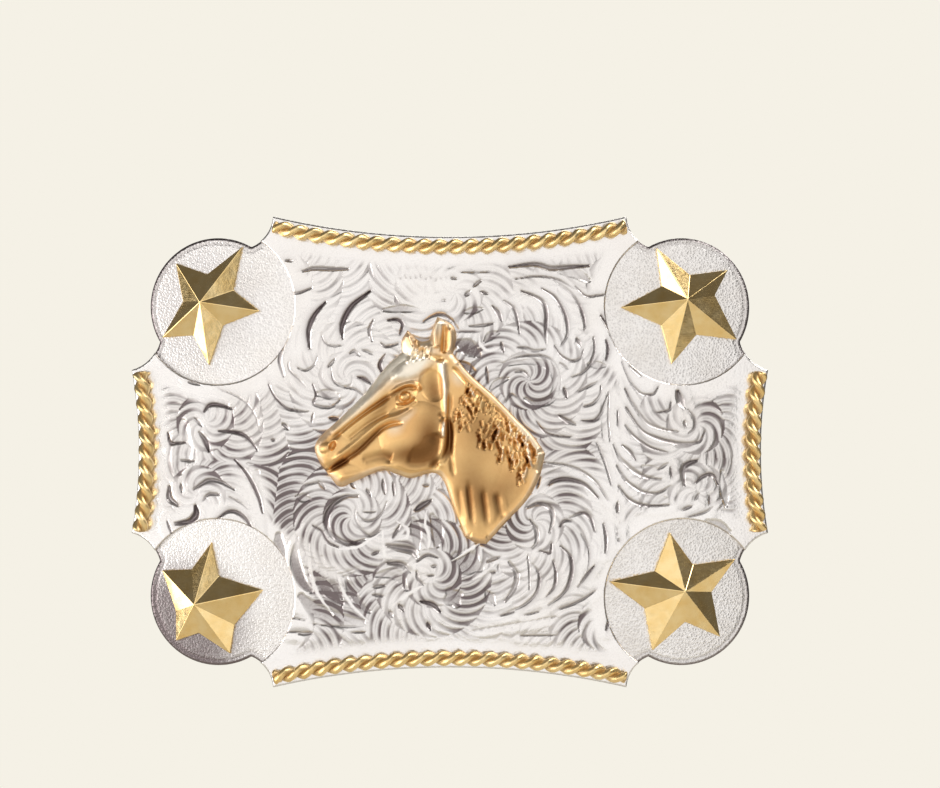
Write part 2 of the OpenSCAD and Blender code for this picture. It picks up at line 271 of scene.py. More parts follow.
def kept_cells(inside):
    """Vertex numbers and quads of the grid cells whose centre is inside."""
    rows, cols = inside.shape
    number = np.arange((rows + 1) * (cols + 1)).reshape(rows + 1, cols + 1)
    j, i = np.nonzero(inside)
    quads = np.stack([number[j, i], number[j, i + 1], number[j + 1, i + 1],
                      number[j + 1, i]], 1)
    used, quads = np.unique(quads, return_inverse=True)
    return used, quads.reshape(-1, 4)


def border_loops(quads):
    """The open edges of the quads as closed loops of vertex numbers."""
    edges = np.concatenate([quads[:, [k, (k + 1) % 4]] for k in range(4)])
    key = edges[:, 0].astype(np.int64) * (quads.max() + 1) + edges[:, 1]
    back = edges[:, 1].astype(np.int64) * (quads.max() + 1) + edges[:, 0]
    border = edges[~np.isin(key, back)]
    follow = {int(a): int(b) for a, b in border}
    loops = []
    while follow:
        at = next(iter(follow))
        loop = []
        while at in follow:
            loop.append(at)
            at = follow.pop(at)
        loops.append(loop)
    return loops


def make_mesh(name, vertices, faces, dark):
    """A smooth object from millimetre vertices, with a darkness at each of them."""
    mesh = bpy.data.meshes.new(name)
    vertices = np.asarray(vertices, np.float32) * MM
    mesh.vertices.add(len(vertices))
    mesh.vertices.foreach_set("co", vertices.ravel())
    sizes = np.concatenate([np.full(len(f), np.asarray(f).shape[1]) for f in faces])
    corners = np.concatenate([np.asarray(f).ravel() for f in faces])
    mesh.loops.add(len(corners))
    mesh.loops.foreach_set("vertex_index", corners.astype(np.int32))
    mesh.polygons.add(len(sizes))
    starts = np.concatenate([[0], np.cumsum(sizes)[:-1]]).astype(np.int32)
    mesh.polygons.foreach_set("loop_start", starts)
    mesh.polygons.foreach_set("use_smooth", np.ones(len(sizes), bool))
    mesh.update(calc_edges=True)
    mesh.validate()
    mesh.set_sharp_from_angle(angle=math.radians(CREASE))
    layer = mesh.attributes.new("dark", "FLOAT", "POINT")
    layer.data.foreach_set("value", np.asarray(dark, np.float32))
    obj = bpy.data.objects.new(name, mesh)
    bpy.context.scene.collection.objects.link(obj)
    return obj


class Sheet:
    """A grid over an area, with heights over a curved face and a darkness."""

    def __init__(self, low, high, cell, field):
        self.cell = cell
        self.field = field
        cols = int(math.ceil((high[0] - low[0]) / cell))
        rows = int(math.ceil((high[1] - low[1]) / cell))
        x = low[0] + cell * np.arange(cols + 1)
        z = low[1] + cell * np.arange(rows + 1)
        self.x, self.z = np.meshgrid(x, z)
        self.low = low
        mid_x, mid_z = self.x[:-1, :-1] + cell / 2, self.z[:-1, :-1] + cell / 2
        self.inside = field(mid_x, mid_z)[0] > 0
        self.depth, self.near_x, self.near_z = field(self.x, self.z)
        self.h = np.zeros(self.x.shape)
        self.dark = np.zeros(self.x.shape)

    def window(self, path, reach):
        """The slices of the grid within reach of a path."""
        lo = (path.min(0) - reach - self.low) / self.cell
        hi = (path.max(0) + reach - self.low) / self.cell
        rows = slice(max(int(lo[1]), 0), max(int(hi[1]) + 2, 0))
        cols = slice(max(int(lo[0]), 0), max(int(hi[0]) + 2, 0))
        return rows, cols

    def along(self, path, reach):
        """Window, distance to the path, share of the way along it, and side of it."""
        win = self.window(path, reach)
        x, z = self.x[win], self.z[win]
        best = np.full(x.shape, 1e9)
        share, side = np.zeros(x.shape), np.zeros(x.shape)
        for i, (a, b) in enumerate(zip(path[:-1], path[1:], strict=True)):
            ab = b - a
            t = np.clip(((x - a[0]) * ab[0] + (z - a[1]) * ab[1]) / (ab @ ab), 0, 1)
            dx, dz = x - a[0] - t * ab[0], z - a[1] - t * ab[1]
            d = dx * dx + dz * dz
            closer = d < best
            best = np.where(closer, d, best)
            share = np.where(closer, (i + t) / (len(path) - 1), share)
            side = np.where(closer, np.sign(ab[0] * dz - ab[1] * dx), side)
        return win, np.sqrt(best), share, side

    def build(self, name, r_front, r_back, round_r):
        """A closed mesh: the height field, a wall round it and a plain back."""
        used, quads = kept_cells(self.inside)
        loops = border_loops(quads)
        edge = np.zeros(len(used), bool)
        for loop in loops:
            edge[loop] = True
        x, z = self.x.ravel()[used], self.z.ravel()[used]
        x = np.where(edge, self.near_x.ravel()[used], x)
        z = np.where(edge, self.near_z.ravel()[used], z)
        inner = np.where(edge, 0, np.clip(self.depth.ravel()[used], 0, round_r))
        drop = round_r - np.sqrt(round_r**2 - (round_r - inner) ** 2)
        h = self.h.ravel()[used] - drop
        dark = self.dark.ravel()[used]
        parts = [np.stack([x, surface_y(x, r_front + h), z], 1)]
        faces = [quads]
        count = len(used)
        triangles = []
        for loop in loops:
            ring, n = np.array(loop), len(loop)
            lx, lz = x[ring], z[ring]
            top_h = h[ring]
            numbers = [ring]
            for k in range(1, WALL_STEPS + 1):
                share = k / WALL_STEPS
                r = (r_front + top_h) * (1 - share) + r_back * share
                parts.append(np.stack([lx, surface_y(lx, r), lz], 1))
                numbers.append(np.arange(count, count + n))
                count += n
            dark = np.concatenate([dark] + [0.5 * dark[ring]] * WALL_STEPS)
            for upper, lower in zip(numbers[:-1], numbers[1:], strict=True):
                faces.append(np.stack([upper, lower, np.roll(lower, -1),
                                       np.roll(upper, -1)], 1))
            back, extra = self.back_triangles(lx, lz)
            parts.append(np.stack([extra[:, 0], surface_y(extra[:, 0], r_back),
                                   extra[:, 1]], 1).reshape(-1, 3))
            table = np.concatenate([numbers[-1], np.arange(count, count + len(extra))])
            count += len(extra)
            dark = np.concatenate([dark, np.zeros(len(extra))])
            triangles.append(table[back])
        vertices = np.concatenate(parts)
        return make_mesh(name, vertices, faces + triangles, dark)

    def back_triangles(self, lx, lz):
        """Triangles that fill a loop, over its own points and a coarse grid inside it."""
        gx, gz = np.meshgrid(np.arange(lx.min(), lx.max(), BACK_CELL),
                             np.arange(lz.min(), lz.max(), BACK_CELL))
        deep = self.field(gx, gz)[0] > BACK_CELL * 0.4
        extra = np.stack([gx[deep], gz[deep]], 1)
        points = [Vector(p) for p in np.concatenate([np.stack([lx, lz], 1), extra])]
        made = geometry.delaunay_2d_cdt(points, [], [list(range(len(lx)))], 1, 1e-7)
        first = np.array([o[0] if o else -1 for o in made[3]])
        rows = first[np.array([list(f) for f in made[2]])]
        rows = rows[(rows >= 0).all(1)]
        a, b, c = (np.array([points[i] for i in rows[:, k]]) for k in range(3))
        turn = (b - a)[:, 0] * (c - a)[:, 1] - (b - a)[:, 1] * (c - a)[:, 0]
        rows = np.where((turn > 0)[:, None], rows[:, ::-1], rows)
        return rows, extra


# ---- the engraving ----

# half width, darkness, then the points of each cut from end to end
TOP_LEFT_CUTS = (
    (0.28, 0.9, -25.2, 24.7, -24, 23.6, -22.3, 23.6, -20.5, 24.3),
    (0.17, 0.7, -26.5, 25.5, -26.4, 24, -25.3, 22.3, -23.7, 21.2),
    (0.24, 0.7, -24.8, 22.9, -23.3, 22.7),
    (0.25, 0.6, -24.4, 28.4, -23.3, 28.3),
    (0.4, 0.55, -21.8, 26.8, -20, 27.2, -17.5, 27.1, -15, 27.1),
    (0.5, 0.95, -20.8, 15.4, -20.9, 18, -20, 20.3, -18.4, 22.2),
    (0.55, 0.95, -15.9, 16.8, -15.9, 18.8, -14.6, 21.5, -11.8, 23.8),
    (0.17, 0.7, -19, 17.2, -18.5, 16.2, -17.3, 15.7, -15.8, 15.8),
    (0.42, 0.75, -24.2, 16.9, -25.2, 14, -24.8, 12, -24.6, 11.2),
    (0.22, 0.75, -23.9, 13.4, -23.8, 12.2, -22.5, 10.9, -21.3, 9.6),
    (0.26, 0.9, -26.9, 10, -26, 8.2, -24.3, 6.6, -22.6, 6.1, -20.8, 6),
    (0.2, 0.6, -22.6, 12.5, -21.4, 12.1, -20.2, 12.8, -19.6, 14.2),
    (0.3, 0.85, -20.3, 10, -19.8, 8.4, -20.2, 7.2, -19, 6.7, -17.5, 6.7, -16.2, 7.8),
    (0.25, 0.8, -17.6, 12.5, -17.2, 10.6, -15.8, 9.7, -14.6, 10, -14.5, 11.4),
    (0.22, 0.75, -15.6, 9.6, -14, 9.3, -12.6, 8.3),
    (0.32, 0.5, -18, 12.6, -17, 13.8),
    (0.3, 0.7, -14.8, 14.6, -14.1, 15, -13.3, 14.2),
    (0.26, 0.7, -13, 15.1, -12.2, 14.9, -11.2, 14.4),
    (0.42, 0.95, -13.6, 11.1, -12.6, 10.8, -11.7, 10.2),
    (0.4, 0.95, -9.5, 14.5, -10.3, 13.2, -10.2, 12.2, -9.3, 11.2),
    (0.34, 0.7, -11.3, 19.6, -11.9, 18, -11.5, 16.4),
    (0.38, 0.95, -9.2, 19.5, -7.8, 19.6, -7, 18.8, -7.4, 17.4),
    (0.25, 0.7, -10.2, 16.1, -9.4, 15.6, -7.6, 16),
    (0.3, 0.8, -3.9, 19.3, -2.6, 20.1, -1.2, 20.4, 0.3, 19.5, 1.2, 18.2),
    (0.45, 0.9, -17.8, 5, -16.5, 4.9),
    (0.24, 0.6, -20.2, 5.8, -20.5, 4.4),
)
TOP_RIGHT_CUTS = (
    (0.3, 0.85, 8, 22.4, 9.3, 21.5, 9.9, 20, 10.3, 17.5),
    (0.4, 0.85, 10.6, 23.8, 12.5, 23.1, 13.8, 22.2, 14.3, 20.5, 14.2, 18, 14.3, 16),
    (0.34, 0.9, 13.6, 24.2, 15.5, 23, 16.8, 21, 17.4, 19, 17.4, 17.3, 16.4, 15.6),
    (0.3, 0.9, 15.2, 25.6, 17.8, 23.8, 19.3, 21.5, 20, 19, 19.9, 18),
    (0.5, 0.8, 8.8, 27.4, 12.5, 27.8, 15, 27.2, 18, 27.4, 20.6, 27.6),
    (0.17, 0.7, 1.6, 26.6, 5.8, 26.6),
    (0.18, 0.7, 9.6, 25.6, 13, 26, 16, 25.5, 18.4, 24.2),
    (0.2, 0.7, 18.5, 24.6, 20.2, 23.1, 22, 23.2, 24.4, 23.5),
    (0.38, 0.95, 22.4, 20.2, 23.6, 18.3, 24.8, 16.4, 26, 14.9, 27.6, 13.9),
    (0.32, 0.95, 10, 15.5, 11.3, 15.4, 12.5, 15, 14.2, 15.2),
    (0.2, 0.75, 7, 12.6, 9.4, 13.9, 12, 14.3, 14.2, 14.1, 15.7, 13, 16.4, 11, 16.2, 8.6),
    (0.34, 0.8, 16.3, 13.2, 17.5, 12.3),
    (0.45, 0.95, 18.8, 16.8, 19.4, 15.6),
    (0.24, 0.75, 15.5, 15.8, 16.5, 14.3, 18, 13.5, 19.3, 13.9, 19.8, 15.2),
    (0.26, 0.75, 21.3, 17, 21.5, 15.4, 21.2, 14, 20.6, 12.7, 19.6, 11.7, 18, 11.1),
    (0.3, 0.9, 23.2, 16.6, 23.5, 15.2, 23.2, 13.6),
    (0.26, 0.75, 19, 8.9, 20.5, 9.7, 21.9, 10.4),
    (0.3, 0.8, 22.4, 9.9, 22.3, 8.5, 21.2, 7.2, 19.8, 6.7),
    (0.4, 0.8, 16.9, 9.5, 17.3, 8),
    (0.45, 0.8, 16.2, 5.4, 17.4, 4.6, 18.6, 4.1),
    (0.34, 0.85, 19.6, 4.6, 21.4, 4.7, 22.4, 5.7, 22.9, 7, 23.4, 8.4),
    (0.24, 0.8, 12.8, 4.5, 14.2, 2.9, 15.8, 2.4, 18, 2.2),
    (0.24, 0.7, 8.2, 7.4, 9, 8.5, 9.9, 8.1),
    (0.22, 0.6, 9.6, 11.9, 11, 11.9, 11.9, 11),
    (0.3, 0.75, 5.4, 12.6, 5.6, 10.2),
    (0.45, 0.85, 6.3, 21.6, 7.2, 20.5, 7.6, 19.4),
    (0.3, 0.8, 2.8, 18.6, 4.6, 18.7, 6.4, 19),
    (0.16, 0.85, 0.8, 17.8, 4.6, 17.8),
    (0.5, 0.9, 2.3, 23.1, 3, 23.8),
    (0.36, 0.7, 3.5, 24.5, 4.6, 25.4),
    (0.3, 0.7, 4.6, 23.7, 5.6, 23.4),
    (0.22, 0.6, 0.2, 25.8, 0.9, 25.6),
    (0.36, 0.75, 7.6, 16.2, 7.9, 14.8),
)
LOWER_LEFT_CUTS = (
    (0.6, 0.9, -13.6, -6.5, -15.5, -6.6, -17.3, -7.8, -18.3, -9.6, -18, -11.5, -16.5, -12.9,
     -14.6, -13.5, -12.6, -12.9),
    (0.28, 0.85, -20.3, -10.9, -19, -11.7, -18, -13.3, -16.4, -14.1),
    (0.3, 0.8, -14, -8.5, -13.9, -10, -12.9, -11.6, -11.8, -12.4, -10.2, -11.6),
    (0.26, 0.85, -13.7, -9, -12.6, -10.1, -11.2, -10, -10, -9, -9.3, -7.3),
    (0.16, 0.7, -12.8, -8.9, -10.9, -8.9),
    (0.45, 0.9, -19.4, -4.4, -18.5, -5.4),
    (0.17, 0.7, -21.5, -4.9, -19.5, -4.5),
    (0.34, 0.85, -14.7, -4.5, -14.1, -5.3),
    (0.36, 0.75, -12.3, -5.5, -11.7, -6.5),
    (0.45, 0.85, -9.9, -4.1, -9.6, -6.1),
    (0.24, 0.75, -8.4, -4.4, -8.2, -6.4),
    (0.8, 0.98, -9.2, -13.8, -7, -14.2, -5.4, -14.6, -4.7, -15.8),
    (0.34, 0.75, -7.4, -10.8, -8.4, -12.6),
    (0.55, 0.75, -9.2, -16.4, -7, -16.6, -5.8, -17.7),
    (0.4, 0.85, -4.9, -17.6, -4.6, -18.8, -3.9, -19.6),
    (0.36, 0.95, -2.7, -16.9, -2, -16.8),
    (0.2, 0.7, -3.4, -18.3, -2.3, -18.2),
    (0.26, 0.75, -4.9, -16.2, -3.4, -15.2, -1.7, -15.6),
    (0.65, 0.8, -2.8, -7.1, -4.1, -7.9, -5.1, -8.6),
    (0.3, 0.5, -3.9, -4.9, -3.1, -4.9),
    (0.34, 0.75, -11.5, -15.1, -10.5, -14.7),
    (0.4, 0.85, -11.3, -20, -9.6, -19.7),
    (0.3, 0.75, -11.4, -21.1, -9.8, -21.3),
    (0.45, 0.75, -8.9, -23.5, -8.5, -24.3),
    (0.5, 0.65, -7.5, -22.6, -6.9, -23.4),
    (0.55, 0.85, -4.3, -22.1, -2.6, -22.5, -1.4, -23.6),
    (0.42, 0.85, -3.3, -25.2, -2.9, -26.2),
    (0.2, 0.7, -27, -23.1, -25.4, -23.1, -23.6, -22.9),
    (0.2, 0.7, -26.4, -25.2, -24.4, -24.5, -21.4, -24.9),
    (0.5, 0.9, -22.4, -26.9, -20.4, -26.8),
    (0.17, 0.7, -24.4, -26.7, -22, -26.6),
    (0.16, 0.65, -20.2, -25.5, -16, -25.8, -12.2, -25.8),
    (0.2, 0.65, -14.6, -26.7, -12.4, -26.6),
)
LOWER_RIGHT_CUTS = (
    (0.5, 0.98, 14.6, -4.9, 15.4, -4.3, 16.8, -4, 18.8, -4.3, 20.4, -5.1, 22, -6.8),
    (0.25, 0.8, 12.9, -5.4, 13.3, -3.6),
    (0.5, 0.7, 11.4, -8.2, 13.2, -7.6, 14.8, -8.2, 15.3, -9.8, 14.8, -11.9),
    (0.42, 0.55, 11.8, -10, 12.8, -11.5, 12.9, -13.2, 12.2, -14.2),
    (0.36, 0.95, 17.8, -9.7, 19.6, -9, 20.8, -9.8, 21.5, -11.8),
    (0.3, 0.75, 16.3, -11.1, 16.9, -10.2, 18, -10.2),
    (0.2, 0.65, 19.4, -12.1, 20.5, -14, 20.7, -16, 20.4, -18),
    (0.3, 0.9, 21.4, -16.8, 20.2, -18.3, 19, -20),
    (0.38, 0.9, 16.4, -13.9, 17.8, -15.4, 18.1, -17.5, 17.5, -19.8, 16.4, -21.3, 14.6, -22.6),
    (0.3, 0.85, 15.3, -16, 15.7, -18, 15.5, -19.8, 14.3, -21.4),
    (0.34, 0.9, 12.2, -16.5, 13.2, -18, 13.1, -20, 12.2, -21.6, 10.6, -22.8, 8.6, -23.6),
    (0.22, 0.6, 11.5, -15.2, 11.8, -17.5, 11.8, -20.4),
    (0.5, 0.4, 8.8, -16.2, 9.9, -18, 9.6, -20, 8.2, -22),
    (0.26, 0.85, 13.3, -14.6, 14.8, -14.9, 15.1, -13.5),
    (0.34, 0.95, 5.4, -16.2, 7.4, -15.5),
    (0.25, 0.8, 7.2, -16.6, 7.2, -17.8),
    (0.25, 0.7, 6, -17.9, 6.8, -17.7),
    (0.2, 0.8, 7.4, -24.2, 9.6, -23.6),
    (0.17, 0.65, 11, -24.1, 13.2, -23.6),
    (0.25, 0.65, 16.3, -23.2, 18, -22.6, 20, -21.6, 21.5, -20.6),
    (0.14, 0.6, 10.4, -27.1, 15.8, -27.1),
    (0.24, 0.6, 13.8, -1.5, 17, -1.9, 19.5, -2.8, 21.8, -4.6, 23.5, -7.2),
    (0.28, 0.6, 22.8, -10.6, 23.2, -12.8, 23.1, -15),
    (0.3, 0.75, 23.7, -24.6, 23.2, -26.4),
    (0.32, 0.6, 24.9, -7.4, 24.9, -9),
)
LEFT_CUTS = (
    (0.42, 0.98, -36.6, 6, -35.8, 6.9, -34.5, 7, -32.4, 6.4),
    (0.4, 0.95, -34.4, 3.1, -32.5, 3, -30.8, 2.6, -29.6, 1.6, -28.6, 0.2),
    (0.6, 0.95, -37.3, 2.9, -36.4, 1.5, -35.9, 0.1),
    (0.3, 0.65, -38, 5, -36.9, 3.8),
    (0.36, 0.85, -42.1, 2.8, -41.8, 1.5, -41.3, 1.2, -39.4, 1.4),
    (0.42, 0.9, -32, -1.2, -30.4, -3, -29.2, -5, -28.3, -7, -27.8, -9),
    (0.42, 0.85, -38.2, -5.6, -37, -4.8, -35.8, -4.2, -34, -4.5, -32, -5.6),
    (0.3, 0.8, -36.8, -7.3, -36, -6.4, -35, -6.3, -34.2, -6.4),
    (0.2, 0.75, -32.8, -6.7, -31, -7.6, -30, -8.5),
    (0.38, 0.95, -34.5, -9.9, -33, -8.9, -31.6, -9, -30.3, -10, -29.4, -11.5, -28.4, -13.4),
    (0.6, 0.75, -41.9, -5.2, -41.8, -7, -40.6, -8),
    (0.75, 0.9, -37.9, -8.1, -37.8, -9.3, -38.8, -10.4, -40.9, -10.7),
    (0.36, 0.55, -40.1, -4.8, -40, -6),
    (0.3, 0.75, -42.2, -10.4, -41.5, -12.3),
    (0.36, 0.95, -33.5, -11.6, -31.9, -11),
    (0.3, 0.9, -31.4, -14.2, -29.9, -14.3, -28.8, -14.8),
    (0.3, 0.6, -32.1, 11, -30.2, 11.1),
    (0.28, 0.5, -39, 10.4, -37.2, 10),
    (0.24, 0.65, -40.2, -1.3, -38, -1.4),
    (0.15, 0.5, -34.4, 9.4, -31, 7.9, -29, 5.6, -28.2, 3),
    (0.5, 0.6, -24.8, 4.2, -24, 3.4),
    (0.3, 0.8, -26.5, 1.8, -25.9, 1.8),
)
RIGHT_CUTS = (
    (0.25, 0.75, 25.5, 13.4, 26.5, 11, 27.4, 9.6, 28.6, 8.6, 30.2, 8.6, 31, 9.6),
    (0.34, 0.85, 26, 9.4, 27, 7.4, 28.2, 5.6, 29.5, 4.2, 31.5, 3.4, 34, 3),
    (0.34, 0.9, 26.2, 6.6, 27.6, 4.4, 28.8, 3, 30.4, 2.2, 32, 1.7, 34, 1.3, 36, 1.3,
     37.3, 1.6, 38, 3),
    (0.28, 0.85, 26, 4, 27.3, 2.4, 28.6, 1.4, 30, 0.6, 32.4, -0.1),
    (0.42, 0.8, 24.3, 1.2, 25.2, -0.8, 26.4, -2, 27.6, -3, 29.4, -3.8, 31.4, -4.1),
    (0.34, 0.75, 25.6, 1, 26.8, 0, 27.6, -1.2),
    (0.3, 0.75, 24.8, -2, 26, -4, 27.4, -5.2, 29, -6, 31, -6.1, 32.7, -5.1),
    (0.3, 0.7, 25, -5, 26.4, -6.8, 28, -7.7, 30, -8, 32.6, -7.9),
    (0.75, 0.9, 33.9, 9, 34.3, 7.6, 34.9, 6.6),
    (0.25, 0.75, 30.6, 5.8, 32.6, 6.2, 32.9, 7.4),
    (0.26, 0.85, 35.4, 6.3, 36.4, 5, 36.4, 3.6, 35.5, 2.7),
    (0.3, 0.45, 34.9, 4.6, 35.1, 3.6),
    (0.6, 0.85, 34.9, -5, 34.7, -3, 35.2, -1.9, 36.8, -1.3),
    (0.4, 0.8, 36.6, -4.6, 37.8, -3.6, 39.2, -3.5, 40, -4.9),
    (0.3, 0.75, 36.5, -7.2, 37.1, -6.2),
    (0.32, 0.8, 34.6, -8.6, 36, -8.1),
    (0.24, 0.7, 35.6, -9.7, 38, -9, 39.2, -8.2),
    (0.24, 0.7, 38.7, -6.6, 38.7, -7.8),
    (0.32, 0.65, 31, -2.6, 32.4, -1.7),
    (0.26, 0.7, 32.8, -2.3, 33, -3.8),
    (0.2, 0.5, 23.6, 9, 23.5, 5, 23.8, 1.6),
    (0.18, 0.55, 24.9, 6.2, 25, 3.6),
    (0.22, 0.5, 21.8, 1.4, 23, -1.6, 24, -5),
    (0.24, 0.6, 26.6, 12.8, 28.4, 11.2),
)
# the same for the sunk, stippled grounds between the leaves
GROUNDS = (
    (0.9, 0.55, -19.6, 8.6, -18, 8.6, -16.6, 8.4),
    (0.7, 0.5, -9.8, 21, -7, 21.2, -4.4, 21.1),
    (1.5, 0.9, 1.2, 16.2, 2.6, 15.6, 4.2, 14.4),
    (0.75, 0.85, 5.2, 16.4, 6, 17.2, 7.2, 17.7),
    (0.8, 0.65, 8.8, 13, 12, 13.4, 14.5, 12.8, 15.8, 11, 15.7, 9, 14.5, 7.5, 12.5, 7.2,
     11.2, 7.9),
    (0.85, 0.6, 9.6, 24.4, 11, 23.8, 12.4, 24.6, 15, 24.9),
    (0.9, 0.55, 16.2, 26.6, 19, 26.3, 20.6, 25.4),
    (0.7, 0.75, 20.6, 13, 23, 12.8),
    (0.6, 0.55, 6, 9.3, 7, 10.3, 8.6, 10.9),
    (0.6, 0.5, 2.2, 20.7, 4.8, 21.2),
    (0.7, 0.75, 1.4, 13.3, 3.6, 12),
    (0.7, 0.5, 22.6, 8.6, 23, 5, 22.8, 2),
    (1.0, 0.8, -22.8, -12.8, -22.9, -16, -22, -19, -20.6, -20.6),
    (1.0, 0.92, -19, -15.6, -19, -18.5, -18, -20.8, -16, -22.4),
    (0.7, 0.88, -17.6, -17.2, -17.2, -19.6, -16, -21.6),
    (0.7, 0.75, -15.4, -18.4, -14.6, -20.6, -13, -22.8, -11.9, -23.6),
    (1.6, 0.55, -22, -21.4, -19.6, -23.6, -16, -25, -13, -25.2),
    (1.6, 0.58, -25.4, -12.4, -25.2, -16, -24.6, -19.8),
    (0.8, 0.5, -22.6, -6.6, -20.8, -7),
    (1.0, 0.78, -5.4, -9.9, -5, -11.5, -4.7, -14.2),
    (1.1, 0.6, -2.6, -9.4, -1.8, -11.5, -1.9, -13.8),
    (1.0, 0.55, -10.8, -18.2, -8, -18, -6.4, -20.2),
    (2.2, 0.55, 1, -15.4, 3, -16.4, 4.4, -17),
    (1.9, 0.6, 0, -20.6, 1, -22.4),
    (0.9, 0.32, 14.2, -3.6, 17, -2.9, 20, -3.5),
    (1.3, 0.48, -28.6, -3, -28.4, -7, -28, -11, -27, -15),
    (0.8, 0.5, 5.4, -20.6, 6.6, -22.4),
    (1.1, 0.4, 29, -6.9, 32, -7),
    (0.7, 0.4, 28.6, -2.2, 31.4, -3),
    (1.6, 0.3, -39.8, 4.4, -39.6, 0, -40.4, -3),
    (1.4, 0.35, -41, -13.6, -38.6, -13.8),
    (1.2, 0.35, 38.4, -10.4, 41.6, -12),
    (0.9, 0.3, 40.6, -3, 41.2, -8),
    (0.9, 0.35, 24.8, 10, 25, 4, 24.6, -4, 24.8, -12),
)
# narrow bright ribs left standing in the grounds: half width, then the points
RIBS = (
    (0.5, -21.6, -10.6, -23, -12.6, -23.9, -15.4, -23.8, -18.4),
    (0.42, -20.8, -13.6, -20.6, -17.4, -19.6, -20.8, -17.2, -24.2),
    (0.34, -16.7, -16.8, -16, -20, -14.4, -22.7, -12.1, -25),
    (0.3, -18.6, -13.4, -16.4, -14.2, -13.6, -14, -11.6, -12.8, -10.2, -11.9),
    (0.34, -5.2, -18.6, -5.2, -16.6, -3.6, -15, -1.6, -15.7),
    (0.3, -9.9, -11.6, -9.8, -14, -9.2, -15.6, -6.4, -15.9),
    (0.34, -7.8, -10.2, -6.2, -11.4, -6.6, -12.8, -8.8, -12.9),
    (0.32, -3.4, -8.6, -3.6, -10.6, -3, -12.6, -3.2, -14.4),
    (0.34, 4.4, 17.2, 4.6, 15.8, 5.8, 15, 7.2, 15.4),
    (0.3, 13.2, 23.9, 14.8, 21.8, 16.4, 20, 16.6, 18),
    (0.3, 9.4, 23, 10.4, 21.4, 10.8, 19.6),
    (0.32, -40.9, -4.6, -40.6, -6.8, -39, -7.7, -37.4, -7, -36.8, -6),
    (0.4, -8.4, -22.6, -6, -20.9, -3.9, -19.6),
    (0.4, 0.4, -16, 2.2, -14.9, 4.4, -13.4),
    (0.3, 3.4, -18.8, 5.6, -17.6, 7, -15.9),
)


# a cut of USUAL_WIDTH to either side goes CUT_DEPTH deep; the metal beside it rolls up
USUAL_WIDTH = 0.4
CUT_DEPTH = 0.3
ROLL_HEIGHT = 0.07
ROLL_AT = 0.75
CUT_REACH = 2.6
GROUND_DEPTH = 0.2
RIB_HEIGHT = 0.08
# how far chance moves the tone of the matting, and the height of the bare surface
MATTING = 0.07
UNEVEN = 0.006


def stroke(sheet, width, points, reach):
    """Window, depth of the tool's mark, distance outside its edge, and its side."""
    path = catmull(np.reshape(points, (-1, 2)), CURVE_STEPS)
    win, d, share, side = sheet.along(path, reach)
    half = width * (0.35 + 0.65 * np.sin(np.pi * np.clip(share, 0.03, 0.97)))
    return win, np.clip(1 - d / half, 0, 1), d - half, side


def cut(sheet, row):
    """A V cut that swells in the middle; painted shade on its inner side stands for the metal
    rounding down to it.
    """
    width, tone, *points = row
    win, deep, off, side = stroke(sheet, width, points, CUT_REACH)
    outside = np.maximum(off, 0)
    size = width / USUAL_WIDTH
    roll = np.exp(-((off - ROLL_AT) ** 2) / 0.45)
    clear = np.clip(1.1 * np.exp(-outside / 0.9) * size**0.5, 0, 0.45)
    sheet.dark[win] *= 1 - clear
    sheet.h[win] *= 1 - clear
    sheet.h[win] += ROLL_HEIGHT * roll - CUT_DEPTH * size * smooth_step(0, 1, deep)
    shade = tone * smooth_step(0.0, 0.5, deep)
    # painted shade on the inner side of the cut, fading away from it
    painted_halo = 0.45 * tone * np.exp(-outside / 0.4) * (side > 0)
    sheet.dark[win] = np.maximum(sheet.dark[win], np.maximum(shade, painted_halo))


def ground(sheet, row):
    """A sunk ground, matted with a punch."""
    width, tone, *points = row
    win, deep, _, _ = stroke(sheet, width, points, width + 0.3)
    k = smooth_step(0.0, 0.45, deep)
    sheet.h[win] = sheet.h[win] * (1 - k) - GROUND_DEPTH * k
    matting = tone + RNG.normal(0, MATTING, k.shape)
    sheet.dark[win] = np.maximum(sheet.dark[win], k * matting)


def rib(sheet, row):
    """A bright rib with a dark line along both edges."""
    width, *points = row
    win, deep, off, _ = stroke(sheet, width, points, width + 0.5)
    k = smooth_step(0.0, 0.6, deep)
    edge = np.exp(-((off - 0.12) ** 2) / 0.02)
    sheet.h[win] = sheet.h[win] * (1 - k) + RIB_HEIGHT * k
    sheet.dark[win] = np.maximum(sheet.dark[win] * (1 - k), 0.5 * edge)


# fans of hairlines: centre, radius, first and last angle, and how many
FANS = (
    (-15.2, 10.9, 10.4, 96, 172, 11), (11, 11, 12.6, 30, 98, 13),
    (13.2, -10, 10.6, -92, 34, 17), (-14.2, -9.5, 9.2, 190, 262, 9),
)


